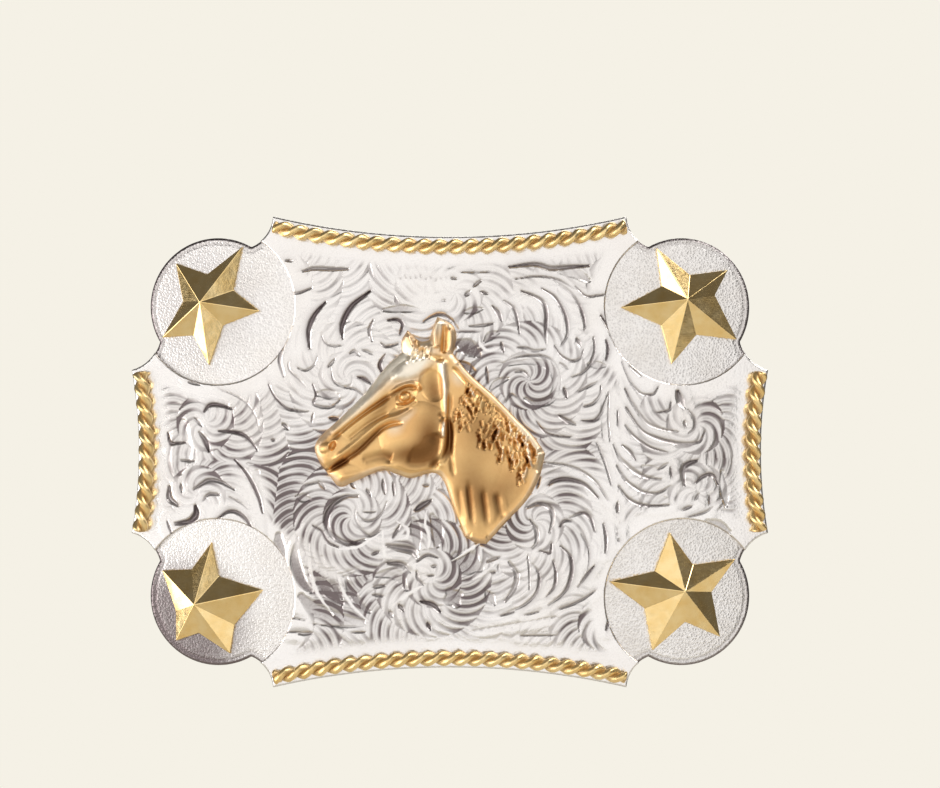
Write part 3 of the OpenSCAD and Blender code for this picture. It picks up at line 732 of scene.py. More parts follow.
def hairlines(sheet):
    """Fine shade lines cut beside the broad leaves, and small punch dots in rows."""
    rows = []
    for cx, cz, r, start, stop, count in FANS:
        for k in range(count):
            a = math.radians(start + (stop - start) * (k + RNG.uniform(0.2, 0.8)) / count)
            path = arc_path((cx + r * math.cos(a), cz + r * math.sin(a)),
                            math.degrees(a) + 108, 3.4 + RNG.uniform(-0.8, 0.9), 34, 5)
            rows.append((0.12, 0.4, *path.ravel()))
    for k in range(26):
        x, z = 24.7 + RNG.normal(0, 0.45), 9.5 - 0.9 * k + RNG.normal(0, 0.2)
        rows.append((0.16, 0.65, x, z, x + 0.1, z - 0.5))
    for k in range(30):
        x, z = -29.2 + RNG.normal(0, 0.75), -3.6 - 0.38 * k
        rows.append((0.15, 0.6, x, z, x + 0.2, z - 0.45))
    for k in range(12):
        rows.append((0.24, 0.7, -7.4 + 0.75 * k, 25.7 + RNG.normal(0, 0.25),
                     -7.1 + 0.75 * k, 25.7))
        rows.append((0.2, 0.6, 3.4 + 1.05 * k, -26.4 + 0.17 * k, 4.2 + 1.05 * k,
                     -26.2 + 0.17 * k))
        rows.append((0.2, 0.6, -4.6 + 0.34 * k, 22.2 + RNG.normal(0, 0.3),
                     -4.4 + 0.34 * k, 22.3))
    for row in rows:
        cut(sheet, row)


# centres that the leaves sweep round: place, and how far a leaf sweeps sideways, in leaves
WHORLS = (
    (-15.2, 10.6, 1.3), (11.6, 10.6, -1.3), (-14.4, -9.6, -1.3), (12.6, -10.4, 1.3),
    (36.6, 4.0, 1.1), (36.8, -6.0, -1.1), (-36.4, 4.4, -1.1), (-37.6, -6.4, 1.1),
    (0.6, 23.6, 1.1), (-2.6, -18.6, -1.1), (24.6, 25.0, 1.0), (-24.6, 25.4, -1.0),
    (-24.4, -25.2, 1.0), (23.4, -25.4, -1.0),
)
LEAF_ROW = 4.4
# where the face is made darker: middle, half lengths and depth of tone
DARKER_AREAS = (
    ((13, 14), (15, 15), 0.62), ((-18, -13), (16, 15), 0.95), ((17, -13), (14, 14), 0.64),
    ((-35, -2), (11, 14), 0.6), ((33, 0), (13, 14), 0.52), ((0, -18), (13, 9), 0.45),
    ((-12, 5), (12, 8), 0.4), ((-14, 17), (13, 10), 0.12),
)
LEAVES_IN_FIRST_ROW = 8
LEAF_HEIGHT = 0.1
LEAF_EDGE_DEPTH = 0.06
VEIN_DEPTH = 0.04
# no leaves nearer than the first distance and full ones from the second, measured from
# the face plate's own edge and from the outline of the whole plate
PLAIN_RIM = (1.6, 3.4)
PLAIN_BAND = (3.4, 5.4)


def leaf_places(x, z):
    """How far across its leaf each point lies, and how far out along it, from 0 to 1."""
    nearest = np.full(x.shape, 1e9)
    phase, reach = np.zeros(x.shape), np.zeros(x.shape)
    for cx, cz, sweep in WHORLS:
        r = np.hypot(x - cx, z - cz)
        row = np.floor(r / LEAF_ROW)
        leaves = LEAVES_IN_FIRST_ROW * (1 + 2 * row)
        turn = np.arctan2(z - cz, x - cx) / (2 * math.pi)
        along = r / LEAF_ROW - row
        u = leaves * turn + sweep * (along + along**2) + 0.37 * row
        closer = r < nearest
        nearest = np.where(closer, r, nearest)
        phase = np.where(closer, u - np.floor(u), phase)
        reach = np.where(closer, along, reach)
    return phase, reach


def area_darkness(x, z):
    """How much darker each point is made."""
    squares = np.zeros(x.shape)
    for (cx, cz), (rx, rz), depth in DARKER_AREAS:
        squares += (depth * np.exp(-((x - cx) / rx) ** 2 - ((z - cz) / rz) ** 2)) ** 2
    return np.sqrt(squares)


def leafwork(sheet):
    """Rows of crescent leaves round every whorl, shaded and veined along one side."""
    x, z = sheet.x, sheet.z
    phase, reach = leaf_places(x, z)
    half = 0.5 * np.sqrt(np.clip(1 - reach**4, 0, 1)) + 0.02
    inside = np.clip(1 - np.abs(phase - 0.5) / half, 0, 1)
    field = smooth_step(*PLAIN_RIM, sheet.depth)
    field = field * smooth_step(*PLAIN_BAND, plate_field(x, z)[0])
    wander = 0.5 + 0.5 * np.sin(0.7 * x + 1.9 * np.sin(0.33 * z)) * np.sin(0.6 * z + 1.1)
    strength = field * (0.7 + 0.3 * wander)
    edge = smooth_step(0.3, 0.0, inside)
    vein = np.exp(-(((phase - 0.42) / 0.06) ** 2)) * smooth_step(0.9, 0.5, reach)
    shade = 0.75 * smooth_step(0.55, 0.9, phase) * smooth_step(0.0, 0.3, reach)
    tone = np.maximum(np.maximum(shade, 0.75 * edge), 0.4 * vein)
    area_tone = area_darkness(x, z)
    body = np.sqrt(inside)
    sheet.h += strength * (LEAF_HEIGHT * body - LEAF_EDGE_DEPTH * edge - VEIN_DEPTH * vein)
    worn = 1 + 0.35 * np.sin(0.9 * x + 2.3 * np.sin(0.41 * z)) * np.sin(0.8 * z + 0.4)
    between = area_tone * (1.2 - 0.85 * body)
    sheet.dark = field * worn * (between + (0.6 + 1.2 * area_tone) * strength * tone)


def engrave(sheet):
    """Cuts the whole face: leaves, grounds, ribs, hairlines and then the bold cuts."""
    sheet.h[:] = RNG.normal(0, UNEVEN, sheet.h.shape)
    leafwork(sheet)
    for row in GROUNDS:
        ground(sheet, row)
    for row in RIBS:
        rib(sheet, row)
    hairlines(sheet)
    for row in (*TOP_LEFT_CUTS, *TOP_RIGHT_CUTS, *LOWER_LEFT_CUTS, *LOWER_RIGHT_CUTS,
                *LEFT_CUTS, *RIGHT_CUTS):
        cut(sheet, row)
    # painted shade along the face plate's edge, where it steps down to the base plate
    rim = smooth_step(0.3, 0.0, sheet.depth)
    sheet.dark = np.maximum(sheet.dark, 0.2 * rim)


# ---- the horse ----

HORSE_PROFILE = (
    ((-7, 14.8), (-9.4, 12.6), (-12.6, 8.6), (-16.4, 4.8), (-19.2, 2.2), (-19.9, 0.4),
     (-19, -2)),
    ((-19, -2), (-17.6, -3.6), (-16.2, -5.1), (-13.8, -4.2), (-10, -2.7), (-7.8, -3.2),
     (-5.6, -3.8), (-2.6, -3), (-1, -4), (0.3, -7.4), (2.2, -12.4)),
    ((2.2, -12.4), (3.8, -13.3), (5.4, -13.5)),
    ((5.4, -13.5), (8.6, -10), (11.4, -7), (13.2, -3.8), (14.1, -0.2)),
    ((14.1, -0.2), (12.4, 2.3), (9.4, 5.4), (6.4, 8.5), (3, 11.5), (0.5, 14.6)),
    ((0.5, 14.6), (1, 17), (0.4, 18.8), (-1.8, 20)),
    ((-1.8, 20), (-2.5, 18.2), (-3, 16.6)),
    ((-3, 16.6), (-4.4, 16.4), (-6.2, 18)),
    ((-6.2, 18), (-7.1, 16.4), (-7, 14.8)),
)
HORSE_LINE = np.vstack([catmull(s, 5)[:-1] for s in HORSE_PROFILE])
CREST = ((1.2, 13.6), (3.4, 11.2), (6.6, 8.2), (9.6, 5.2), (12.4, 2.2), (13.6, 0.2))
HORSE_EDGE_H = 1.25
HORSE_RISE = 1.15
HORSE_ROUND = 2.4
HORSE_LOWEST = 0.9
HORSE_HIGHEST = 3.8
MOULD_REACH = 2.6
LOCKS = 130

# painted shade in brown and, with a minus, painted highlights in pale gold: middle, half
# lengths, tilt and tone
HORSE_SHADE_AND_HIGHLIGHTS = (
    ((-2.4, 9.4), 1.6, 4.0, 12, 0.75), ((-3.0, 2.4), 2.6, 4.6, -8, 1.0),
    ((-6.4, -0.2), 4.2, 2.0, 8, 0.9), ((-12.4, 1.4), 4.4, 1.0, 38, 0.6),
    ((-17.6, -1.8), 2.2, 0.9, 10, 0.4), ((3.4, -5.4), 3.4, 7.0, 8, 0.75),
    ((4.4, 3.6), 3.4, 5.6, 24, 0.65), ((8.2, -5.6), 3.2, 4.6, -40, 0.6),
    ((-10.0, 6.4), 3.8, 1.0, 42, 0.5), ((-5.8, 13.0), 4.4, 2.4, 28, -1.7),
    ((-12.6, 8.4), 5.6, 1.7, 48, -1.1), ((1.2, 11.0), 1.2, 1.6, 20, -0.5),
    ((-8.2, 3.6), 1.8, 1.4, 0, -0.4),
    ((-1.2, 18.6), 1.0, 1.8, 0, -0.6), ((10.6, 2.4), 1.2, 4.6, 45, -0.45),
    ((-6.4, 5.2), 2.6, 0.9, 32, -0.4), ((11.6, -3.2), 1.6, 3.4, -30, -0.2),
)


def horse_field(x, z):
    """How far the points lie inside the horse's outline, and the nearest edge point."""
    closed = np.vstack([HORSE_LINE, HORSE_LINE[:1]])
    d, near_x, near_z = nearest_on(closed, x, z)
    return np.where(inside_of(HORSE_LINE, x, z), d, -d), near_x, near_z


def mould(sheet, points, width, amount, tone=0.0, ends=0.12):
    """A soft ridge, or with a negative amount a hollow, that fades at both ends; its tone
    paints shade along it, or with a minus a highlight.
    """
    path = catmull(points, CURVE_STEPS)
    win, d, share, _ = sheet.along(path, width * MOULD_REACH)
    fade = smooth_step(0, ends, share) * smooth_step(1, 1 - ends, share)
    k = np.exp(-((d / width) ** 2)) * np.where((share > 0) & (share < 1), 1, 0.6) * fade
    sheet.h[win] += amount * k
    # tone is painted shade in brown along grooves, or with a minus a pale painted highlight
    # along ridges
    sheet.dark[win] += tone * k


def oval(sheet, c, rx, rz, tilt):
    """The square of the distance from c, where the edge of a tilted oval is 1."""
    a = math.radians(tilt)
    dx, dz = sheet.x - c[0], sheet.z - c[1]
    u = (dx * math.cos(a) + dz * math.sin(a)) / rx
    v = (dz * math.cos(a) - dx * math.sin(a)) / rz
    return u * u + v * v


def swell(sheet, c, rx, rz, amount, tilt=0.0, power=1.0):
    """A domed or hollowed oval."""
    sheet.h += amount * np.clip(1 - oval(sheet, c, rx, rz, tilt), 0, 1) ** power


def painted_patch(sheet, c, rx, rz, tilt, tone):
    """A soft brown patch of painted shade, or with a negative tone a pale painted highlight.
    """
    sheet.dark += tone * np.exp(-1.6 * oval(sheet, c, rx, rz, tilt))


def carve_head(sheet):
    """Domes of cheek, bridge, muzzle and chin, then the folds, the mouth and the jaw."""
    swell(sheet, (-4.8, 2.4), 5.6, 5.2, 0.75, 0, 0.8)
    swell(sheet, (-13, 4.4), 8.0, 3.4, 0.35, 40)
    swell(sheet, (-17.4, 0.4), 2.8, 2.4, 0.35, 0, 0.8)
    swell(sheet, (-15.4, -3.2), 2.4, 1.5, 0.25, 10, 0.8)
    mould(sheet, ((-18.4, 2.0), (-14.4, 5.6), (-10, 9.4), (-6.4, 12.2)), 0.75, 0.32)
    mould(sheet, ((-18.2, 1.2), (-14, 4.6), (-10, 7.5), (-6.6, 9.5), (-4.4, 9.3)), 0.33,
          -0.5, 0.75)
    mould(sheet, ((-17.6, -1.5), (-14, 1.2), (-10, 4.5), (-7.5, 5.4), (-5.2, 6.8)), 0.42,
          0.42)
    mould(sheet, ((-17.8, -2.5), (-13.4, 0.2), (-9.6, 3.7), (-6.6, 4.5)), 0.33, -0.42, 0.6)
    mould(sheet, ((-16.6, 2.4), (-13, 5.0), (-9, 7.2)), 0.4, 0.22)
    mould(sheet, ((-15.2, 1.7), (-12, 4.2), (-8.8, 5.9)), 0.32, -0.22, 0.35)
    mould(sheet, ((-19.7, -1.0), (-18.4, -2.6), (-17, -2.3), (-14.6, -0.9)), 0.3, -0.6, 0.9)
    mould(sheet, ((-16.6, -3.9), (-13, -3.1), (-9, -2.0), (-5, -2.6), (-2.4, -2.0)), 0.55,
          0.3)
    mould(sheet, ((-13, -1.3), (-10, -0.5), (-8.4, -1.0)), 0.7, -0.35, 0.45)


def carve_eye_and_cheek(sheet):
    """Eye, brow, temple, nostril, the cheek's rim and the folds behind it."""
    swell(sheet, (-6.4, 8.3), 1.7, 1.2, -0.5, 35, 0.7)
    swell(sheet, (-6.5, 8.2), 0.85, 0.7, 0.75, 20, 0.6)
    mould(sheet, ((-9.2, 7.9), (-7.4, 9.5), (-5.4, 10.1), (-4.2, 9.0)), 0.36, 0.5)
    mould(sheet, ((-8.0, 6.9), (-6.4, 6.9), (-4.8, 7.8)), 0.3, 0.3)
    swell(sheet, (-2.6, 9.9), 1.9, 2.6, -0.55, 20, 0.8)
    swell(sheet, (-18.3, 0.7), 0.95, 0.7, 0.35, 30, 0.6)
    swell(sheet, (-17.2, 1.0), 0.8, 0.5, -0.7, 60, 0.7)
    rim = circle_path((-4.8, 2.4), 4.9, -70, 50, 24)
    mould(sheet, rim, 0.55, -0.6, 0.8)
    mould(sheet, circle_path((-4.8, 2.2), 3.2, -120, 20, 20), 1.3, -0.5, 0.5)
    mould(sheet, ((-1.1, 13.8), (-0.7, 9), (-0.6, 5.6), (-1.0, 2)), 0.5, 0.6, -0.9, 0.05)
    mould(sheet, ((-0.8, 5.2), (-1.0, 1), (-1.5, -2.4)), 0.45, 0.42, -0.7)
    mould(sheet, ((0.1, 9), (-0.1, 5), (0.1, 0), (0.6, -4)), 0.4, -0.35, 0.5)


def carve_ears(sheet):
    """Both ears, the forelock between them and the forehead below."""
    mould(sheet, ((-1.9, 19.6), (-2.2, 17.2), (-1.9, 15.2)), 0.42, 0.6)
    mould(sheet, ((-0.7, 19.0), (-0.8, 16.8), (-0.9, 14.4)), 0.38, -0.55, 0.55)
    mould(sheet, ((0.1, 18.4), (0.3, 16.6), (0, 14.6)), 0.36, 0.4)
    mould(sheet, ((-6.1, 17.4), (-5.6, 15.8), (-4.6, 14.6)), 0.4, 0.45)
    mould(sheet, ((-5.0, 16.6), (-4.4, 15.4), (-3.4, 14.8)), 0.32, -0.4, 0.5)
    for k in range(4):
        mould(sheet, ((-2.7 - 0.8 * k, 15.9), (-3.2 - 1.0 * k, 13.6 - 0.2 * k)), 0.26, 0.3)
    mould(sheet, ((-6.6, 14.2), (-3.6, 14.4), (-0.8, 13.6)), 0.4, -0.3, 0.4)
    swell(sheet, (-5.4, 12.4), 3.6, 1.5, 0.4, 25, 0.8)


def carve_neck(sheet):
    """The neck's folds, the crest, the mane's short locks and the neck's lower edge."""
    swell(sheet, (3.4, 2.5), 4.2, 8.5, 0.3, 12, 0.8)
    for x, top, low, deep in ((3.2, -3.5, -11.8, 0.42), (5.4, -4.6, -11.6, 0.45),
                              (7.4, -5.4, -10, 0.4), (1.7, -4.5, -10.8, 0.3)):
        mould(sheet, ((x - 0.6, top), (x - 0.2, (top + low) / 2), (x + 0.3, low)), 0.42,
              -0.7 * deep, 0.4, 0.3)
        mould(sheet, ((x + 0.4, top), (x + 0.8, (top + low) / 2), (x + 1.3, low)), 0.4,
              0.12, 0, 0.3)
    crest = catmull(CREST, 8)
    mould(sheet, CREST, 0.75, 0.35, 0, 0.05)
    mould(sheet, crest + np.array([-0.75, -0.85]), 0.3, -0.4, 0.6, 0.05)
    # every lock starts somewhere beside the crest and hangs nearly straight down
    for _ in range(LOCKS):
        at = crest[int((0.22 + 0.76 * RNG.uniform()) * (len(crest) - 1))]
        start = at + np.array([-0.62, -0.78]) * (0.9 + 5.2 * RNG.uniform() ** 1.3)
        lock = arc_path(start, -84 + RNG.normal(0, 16), 1.5 + RNG.normal(0, 0.35),
                        RNG.normal(-10, 22), 6)
        # each lock is a groove with painted shade beside a ridge with a painted highlight
        mould(sheet, lock, 0.19, -0.2, 0.32)
        mould(sheet, lock + np.array([0.36, 0.1]), 0.2, 0.16, -0.3)
    mould(sheet, ((13.2, -2.6), (11.2, -6.4), (8.5, -9.4), (5.6, -12.6)), 0.5, 0.4, 0, 0.05)
    mould(sheet, ((3.0, -12.2), (4.4, -12.7), (5.6, -12.6)), 0.45, 0.3, 0, 0.1)


def dome_rings(c, r_list, depth_list):
    """Vertices and quads of a lathe shape behind the plate, about the plate's normal."""
    turn = math.asin(c[0] / BASE_R)
    out = np.array([math.sin(turn), -math.cos(turn)])
    along = np.array([math.cos(turn), math.sin(turn)])
    foot = np.array([BASE_R * math.sin(turn), AXIS_Y - BASE_R * math.cos(turn)])
    rings = []
    for r, depth in zip(r_list, depth_list, strict=True):
        a = np.linspace(0, 2 * math.pi, PEG_SIDES, endpoint=False)
        xy = foot[None] + along[None] * (r * np.cos(a))[:, None] - out[None] * depth
        rings.append(np.stack([xy[:, 0], xy[:, 1], c[1] + r * np.sin(a)], 1))
    n = PEG_SIDES
    faces = []
    for k in range(len(rings) - 1):
        a = k * n + np.arange(n)
        b = k * n + (np.arange(n) + 1) % n
        faces.append(np.stack([a, a + n, b + n, b], 1))
    return np.concatenate(rings), np.concatenate(faces)


def peg_mesh(name, c, front):
    """A round peg from inside an ornament to its peened head behind the base plate."""
    back = BASE_R - BACK_R + FILM
    rim = back + PEG_RIM
    r = [PEG_TIP_R, PEG_R, PEG_R, PEG_HEAD_R * 0.9, PEG_HEAD_R]
    depth = [front, front, back, back, rim]
    rings = 6
    for k in range(1, rings + 1):
        a = math.pi / 2 * k / rings
        r.append(max(PEG_HEAD_R * math.cos(a), PEG_TIP_R))
        depth.append(rim + (PEG_HEAD_H - PEG_RIM) * math.sin(a))
    vertices, faces = dome_rings(c, r, depth)
    return make_mesh(name, vertices, [faces], np.zeros(len(vertices)))


def make_horse():
    """The carved head and the two pegs that hold it."""
    margin = 0.3
    low, high = HORSE_LINE.min(0) - margin, HORSE_LINE.max(0) + margin
    sheet = Sheet(low, high, HORSE_CELL, horse_field)
    rise = np.clip(sheet.depth / HORSE_ROUND, 0, 1)
    sheet.h[:] = HORSE_EDGE_H + HORSE_RISE * np.sqrt(1 - (1 - rise) ** 2)
    # brown painted shade on the temple, cheek, jaw and neck, and pale painted highlights on
    # the forehead, bridge, ear and crest
    for patch in HORSE_SHADE_AND_HIGHLIGHTS:
        painted_patch(sheet, *patch)
    carve_head(sheet)
    carve_eye_and_cheek(sheet)
    carve_ears(sheet)
    carve_neck(sheet)
    sheet.h[:] = np.clip(sheet.h, HORSE_LOWEST, HORSE_HIGHEST)
    # a pale painted highlight in a band just inside the horse's outline, along its rounded
    # edge
    sheet.dark -= 0.4 * np.exp(-(((sheet.depth - 0.45) / 0.4) ** 2))
    sheet.dark[:] = np.clip(sheet.dark, -1, 1)
    head = sheet.build("horse_relief", FACE_R, FACE_R + FILM, HORSE_EDGE)
    return [head] + [peg_mesh(f"horse_peg_{k}", c, -PEG_INSIDE)
                     for k, c in enumerate(HORSE_PEGS)]


# ---- ropes ----


def rope_arc(p, q, sag):
    """Centre, radius and end angles of the rope beside an edge from p to q."""
    p, q = np.array(p, float), np.array(q, float)
    d = np.linalg.norm(q - p)
    r = (d * d / 4 + sag * sag) / (2 * sag)
    out = np.array([p[1] - q[1], q[0] - p[0]]) / d
    c = (p + q) / 2 + out * (r - sag)
    half = math.asin((d / 2 - ROPE_SHORT) / r)
    mid = math.atan2(-out[1], -out[0])
    return c, r + ROPE_IN, mid + half, mid - half


def strand_skin(base, steps):
    """The quads of a strand whose vertices run side by side from number base."""
    i = np.arange(steps)
    quads = []
    for k in range(STRAND_SIDES):
        a = base + k * (steps + 1) + i
        b = base + (k + 1) % STRAND_SIDES * (steps + 1) + i
        quads.append(np.stack([a, a + 1, b + 1, b], 1))
    return quads


def rope_axis(c, r, a):
    """The rope's middle line over the face at angles a, and its two cross directions."""
    x, z = c[0] + r * np.cos(a), c[1] + r * np.sin(a)
    th = np.arcsin(x / FACE_R)
    out = np.stack([np.sin(th), -np.cos(th), 0 * th], 1)
    tangent = np.stack([-np.sin(a), -np.sin(a) * np.tan(th), np.cos(a)], 1)
    tangent /= np.linalg.norm(tangent, axis=1)[:, None]
    foot = np.stack([x, surface_y(x, FACE_R), z], 1)
    return foot + out * ROPE_SEAT, np.cross(tangent, out), out


def make_rope(name, p, q, sag):
    """Two laid strands with fine yarns, clamped flat where they meet the plate."""
    c, r, start, stop = rope_arc(p, q, sag)
    length = abs(stop - start) * r
    steps = int(length / ROPE_STEP)
    s = np.linspace(0, 1, steps + 1)
    axis, across, out = rope_axis(c, r, start + (stop - start) * s)
    ends = np.clip(np.minimum(s, 1 - s) * length / ROPE_TAPER, 0, 1)
    ends = 0.35 + 0.65 * np.sqrt(1 - (1 - ends) ** 2)
    vertices, faces, dark = [], [], []
    for strand in range(2):
        lay = math.pi * strand - 2 * math.pi * length * s / ROPE_LAY
        offset = STRAND_OUT * ends
        middle_u, middle_v = offset * np.cos(lay), offset * np.sin(lay)
        for k in range(STRAND_SIDES):
            f = 2 * math.pi * k / STRAND_SIDES
            yarn = 1 + YARN_DEPTH * np.cos(YARNS * f - lay * 1.5)
            u = middle_u + STRAND_R * ends * yarn * math.cos(f)
            v = middle_v + STRAND_R * ends * yarn * math.sin(f)
            far = np.hypot(u, v) / ROPE_R
            v = np.maximum(v, FILM - ROPE_SEAT)
            vertices.append(axis + across * u[:, None] + out * v[:, None])
            # painted shade towards the rope's core, between the strands, and on the side that
            # faces the plate
            dark.append(smooth_step(0.86, 0.55, far) + smooth_step(-0.3, -0.85, v / ROPE_R))
        faces += strand_skin(strand * STRAND_SIDES * (steps + 1), steps)
    vertices, dark = np.concatenate(vertices), np.clip(np.concatenate(dark), 0, 1)
    caps, count = [], len(vertices)
    for strand in range(2):
        base = strand * STRAND_SIDES * (steps + 1)
        for at in (0, steps):
            ring = base + np.arange(STRAND_SIDES) * (steps + 1) + at
            vertices = np.vstack([vertices, vertices[ring].mean(0)])
            dark = np.append(dark, 0.5)
            turned = np.roll(ring, -1)
            pair = (ring, turned) if at == 0 else (turned, ring)
            caps.append(np.stack([np.full(STRAND_SIDES, count), pair[0], pair[1]], 1))
            count += 1
    return make_mesh(name, vertices, faces + caps, dark)


# ---- the two plates ----


def plate_sheet(margin, cell, field):
    """A sheet over the whole plate and a margin round it."""
    corner = np.array([HALF_W + margin, HALF_H + margin])
    return Sheet(-corner, corner, cell, field)


# darkening on the left lobes, partly tarnish and partly painted shade: its middle and its
# depth of tone; it fades between two radii
LOBE_DARKENING = ((-LOBE_X - 6, -LOBE_Z - 5, 0.85), (-LOBE_X - 4, LOBE_Z, 0.24))
LOBE_DARKENING_FADE = (14, 5)
RIM_LINE_AT = 0.75
RIM_LINE_DEPTH = 0.1


def make_base():
    """The frosted plate, with a shallow line cut along its rim and painted shade on its outer
    edge.
    """
    sheet = plate_sheet(0.3, BASE_CELL, plate_field)
    rim = sheet.depth
    off = np.abs(rim - RIM_LINE_AT)
    sheet.h -= RIM_LINE_DEPTH * np.clip(1 - off / 0.25, 0, 1)
    # the dark band on the outer edge is painted shade of the rounded edge; the cut line along
    # the rim holds patina
    sheet.dark = np.maximum(0.95 * smooth_step(0.5, 0.2, rim),
                            0.35 * np.clip(1 - off / 0.3, 0, 1))
    # partly tarnish and partly painted shade on the left lobes
    for cx, cz, depth in LOBE_DARKENING:
        r = np.hypot(sheet.x - cx, sheet.z - cz)
        sheet.dark += depth * smooth_step(*LOBE_DARKENING_FADE, r)
    return sheet.build("silver_base", BASE_R, BACK_R, BASE_EDGE)


def make_face():
    """The bright plate that carries the engraving."""
    sheet = plate_sheet(0.2, FACE_CELL, face_field)
    engrave(sheet)
    return sheet.build("engraved_face", FACE_R, BASE_R + FILM, FACE_EDGE)


# ---- materials ----


class Paint:
    """A Principled material with short ways to add nodes."""

    def __init__(self, name, metallic=1.0):
        self.material = bpy.data.materials.new(name)
        self.material.use_nodes = True
        self.tree = self.material.node_tree
        self.shader = self.tree.nodes["Principled BSDF"]
        self.shader.inputs["Metallic"].default_value = metallic

    def node(self, kind, **values):
        """A node with its inputs or its settings filled in."""
        made = self.tree.nodes.new(kind)
        for key, value in values.items():
            if key in made.inputs:
                made.inputs[key].default_value = value
            else:
                setattr(made, key, value)
        return made

    def link(self, a, b):
        self.tree.links.new(a, b)

    def place(self, stretch=(1, 1, 1)):
        """Object coordinates in millimetres, stretched along the axes."""
        coordinates = self.node("ShaderNodeTexCoord")
        mapping = self.node("ShaderNodeMapping", Scale=[s / MM for s in stretch])
        self.link(coordinates.outputs["Object"], mapping.inputs["Vector"])
        return mapping.outputs["Vector"]

    def noise(self, scale, detail=3.0, stretch=(1, 1, 1)):
        """Soft noise; scale is in waves to the millimetre."""
        made = self.node("ShaderNodeTexNoise", Scale=scale, Detail=detail)
        self.link(self.place(stretch), made.inputs["Vector"])
        return made.outputs["Fac"]

    def cells(self, scale):
        """Distance from scattered points; scale is in points to the millimetre."""
        made = self.node("ShaderNodeTexVoronoi", Scale=scale)
        self.link(self.place(), made.inputs["Vector"])
        return made.outputs["Distance"]

    def span(self, source, low, high, to_low, to_high):
        """The source's values from low to high, turned into to_low to to_high."""
        made = self.node("ShaderNodeMapRange", **{
            "From Min": low, "From Max": high, "To Min": to_low, "To Max": to_high})
        self.link(source, made.inputs["Value"])
        return made.outputs["Result"]

    def math(self, operation, a, b):
        """One sum on two outputs or numbers."""
        made = self.node("ShaderNodeMath", operation=operation)
        for socket, value in zip(made.inputs[:2], (a, b), strict=True):
            if isinstance(value, float):
                socket.default_value = value
            else:
                self.link(value, socket)
        return made.outputs["Value"]

    def dark(self):
        """The darkness that the mesh holds at each vertex."""
        made = self.node("ShaderNodeAttribute", attribute_name="dark")
        return made.outputs["Fac"]

    def mix(self, share, a, b):
        """A colour that goes from a to b with share."""
        made = self.node("ShaderNodeMix", data_type="RGBA")
        self.link(share, made.inputs["Factor"])
        for socket, value in zip((made.inputs[6], made.inputs[7]), (a, b), strict=True):
            if isinstance(value, tuple):
                socket.default_value = (*value, 1.0)
            else:
                self.link(value, socket)
        return made.outputs[2]

    def clouds(self, cloud, a, b):
        """Two colours in soft clouds."""
        return self.mix(self.span(cloud, 0.35, 0.7, 0.0, 1.0), a, b)

    def bumps(self, *layers):
        """Stacks (height, strength, distance in mm) layers onto the normal."""
        normal = None
        for height, strength, distance in layers:
            made = self.node("ShaderNodeBump", Strength=strength, Distance=distance * MM)
            self.link(height, made.inputs["Height"])
            if normal is not None:
                self.link(normal, made.inputs["Normal"])
            normal = made.outputs["Normal"]
        self.link(normal, self.shader.inputs["Normal"])

    def finish(self, color, roughness):
        """The finished material."""
        self.link(color, self.shader.inputs["Base Color"])
        self.link(roughness, self.shader.inputs["Roughness"])
        return self.material


SILVER_BRIGHT = (0.91, 0.89, 0.885)
SILVER_WARM = (0.87, 0.84, 0.82)
SILVER_DARK = (0.21, 0.175, 0.18)
GOLD_BRIGHT = (0.97, 0.75, 0.39)
GOLD_WARM = (0.90, 0.63, 0.26)
SATIN_GOLD = (0.88, 0.58, 0.26)
SATIN_WARM = (0.78, 0.47, 0.20)
SHADE_BROWN = (0.19, 0.075, 0.02)
HIGHLIGHT_GOLD = (0.98, 0.93, 0.82)
ROPE_SHADE = (0.58, 0.40, 0.20)
NICKEL_BRIGHT = (0.70, 0.69, 0.66)
NICKEL_DULL = (0.52, 0.50, 0.47)


def engraved_silver():
    """Bright silver, dark in the cuts, with a faint stipple."""
    p = Paint("engraved_silver")
    dark = p.dark()
    stipple = p.cells(2.6)
    cloud = p.noise(0.09, 2.0)
    fine = p.noise(5.0, 2.0)
    dark = p.math("ADD", dark, p.span(fine, 0.45, 0.7, 0.0, 0.06))
    tone = p.clouds(cloud, SILVER_BRIGHT, SILVER_WARM)
    color = p.mix(p.span(dark, 0.0, 0.95, 0.0, 1.0), tone, SILVER_DARK)
    roughness = p.span(dark, 0.0, 1.0, 0.24, 0.55)
    p.bumps((stipple, 0.22, 0.05), (p.noise(1.4, 4.0, (0.25, 1, 1)), 0.12, 0.03))
    return p.finish(color, roughness)


def frosted_silver():
    """Silver with the sparkling grain of the lobes."""
    p = Paint("frosted_silver")
    dark = p.dark()
    grain = p.cells(3.2)
    cloud = p.noise(0.15, 3.0)
    speck = p.span(grain, 0.05, 0.6, 0.25, 0.0)
    dark = p.math("ADD", dark, speck)
    tone = p.clouds(cloud, SILVER_BRIGHT, SILVER_WARM)
    color = p.mix(p.span(dark, 0.0, 1.0, 0.0, 1.0), tone, SILVER_DARK)
    roughness = p.span(cloud, 0.3, 0.7, 0.3, 0.38)
    p.bumps((grain, 0.55, 0.1), (p.noise(6.0, 2.0), 0.3, 0.04))
    return p.finish(color, roughness)


def rope_gold():
    """Gold, with painted shade in the grooves between the strands and under the rope."""
    p = Paint("rope_gold")
    dark = p.dark()
    cloud = p.noise(0.3, 3.0)
    color = p.clouds(cloud, GOLD_BRIGHT, GOLD_WARM)
    color = p.mix(p.span(dark, 0.3, 1.0, 0.0, 0.85), color, ROPE_SHADE)
    roughness = p.span(dark, 0.0, 1.0, 0.34, 0.5)
    p.bumps((p.noise(3.5, 3.0), 0.15, 0.03))
    return p.finish(color, roughness)


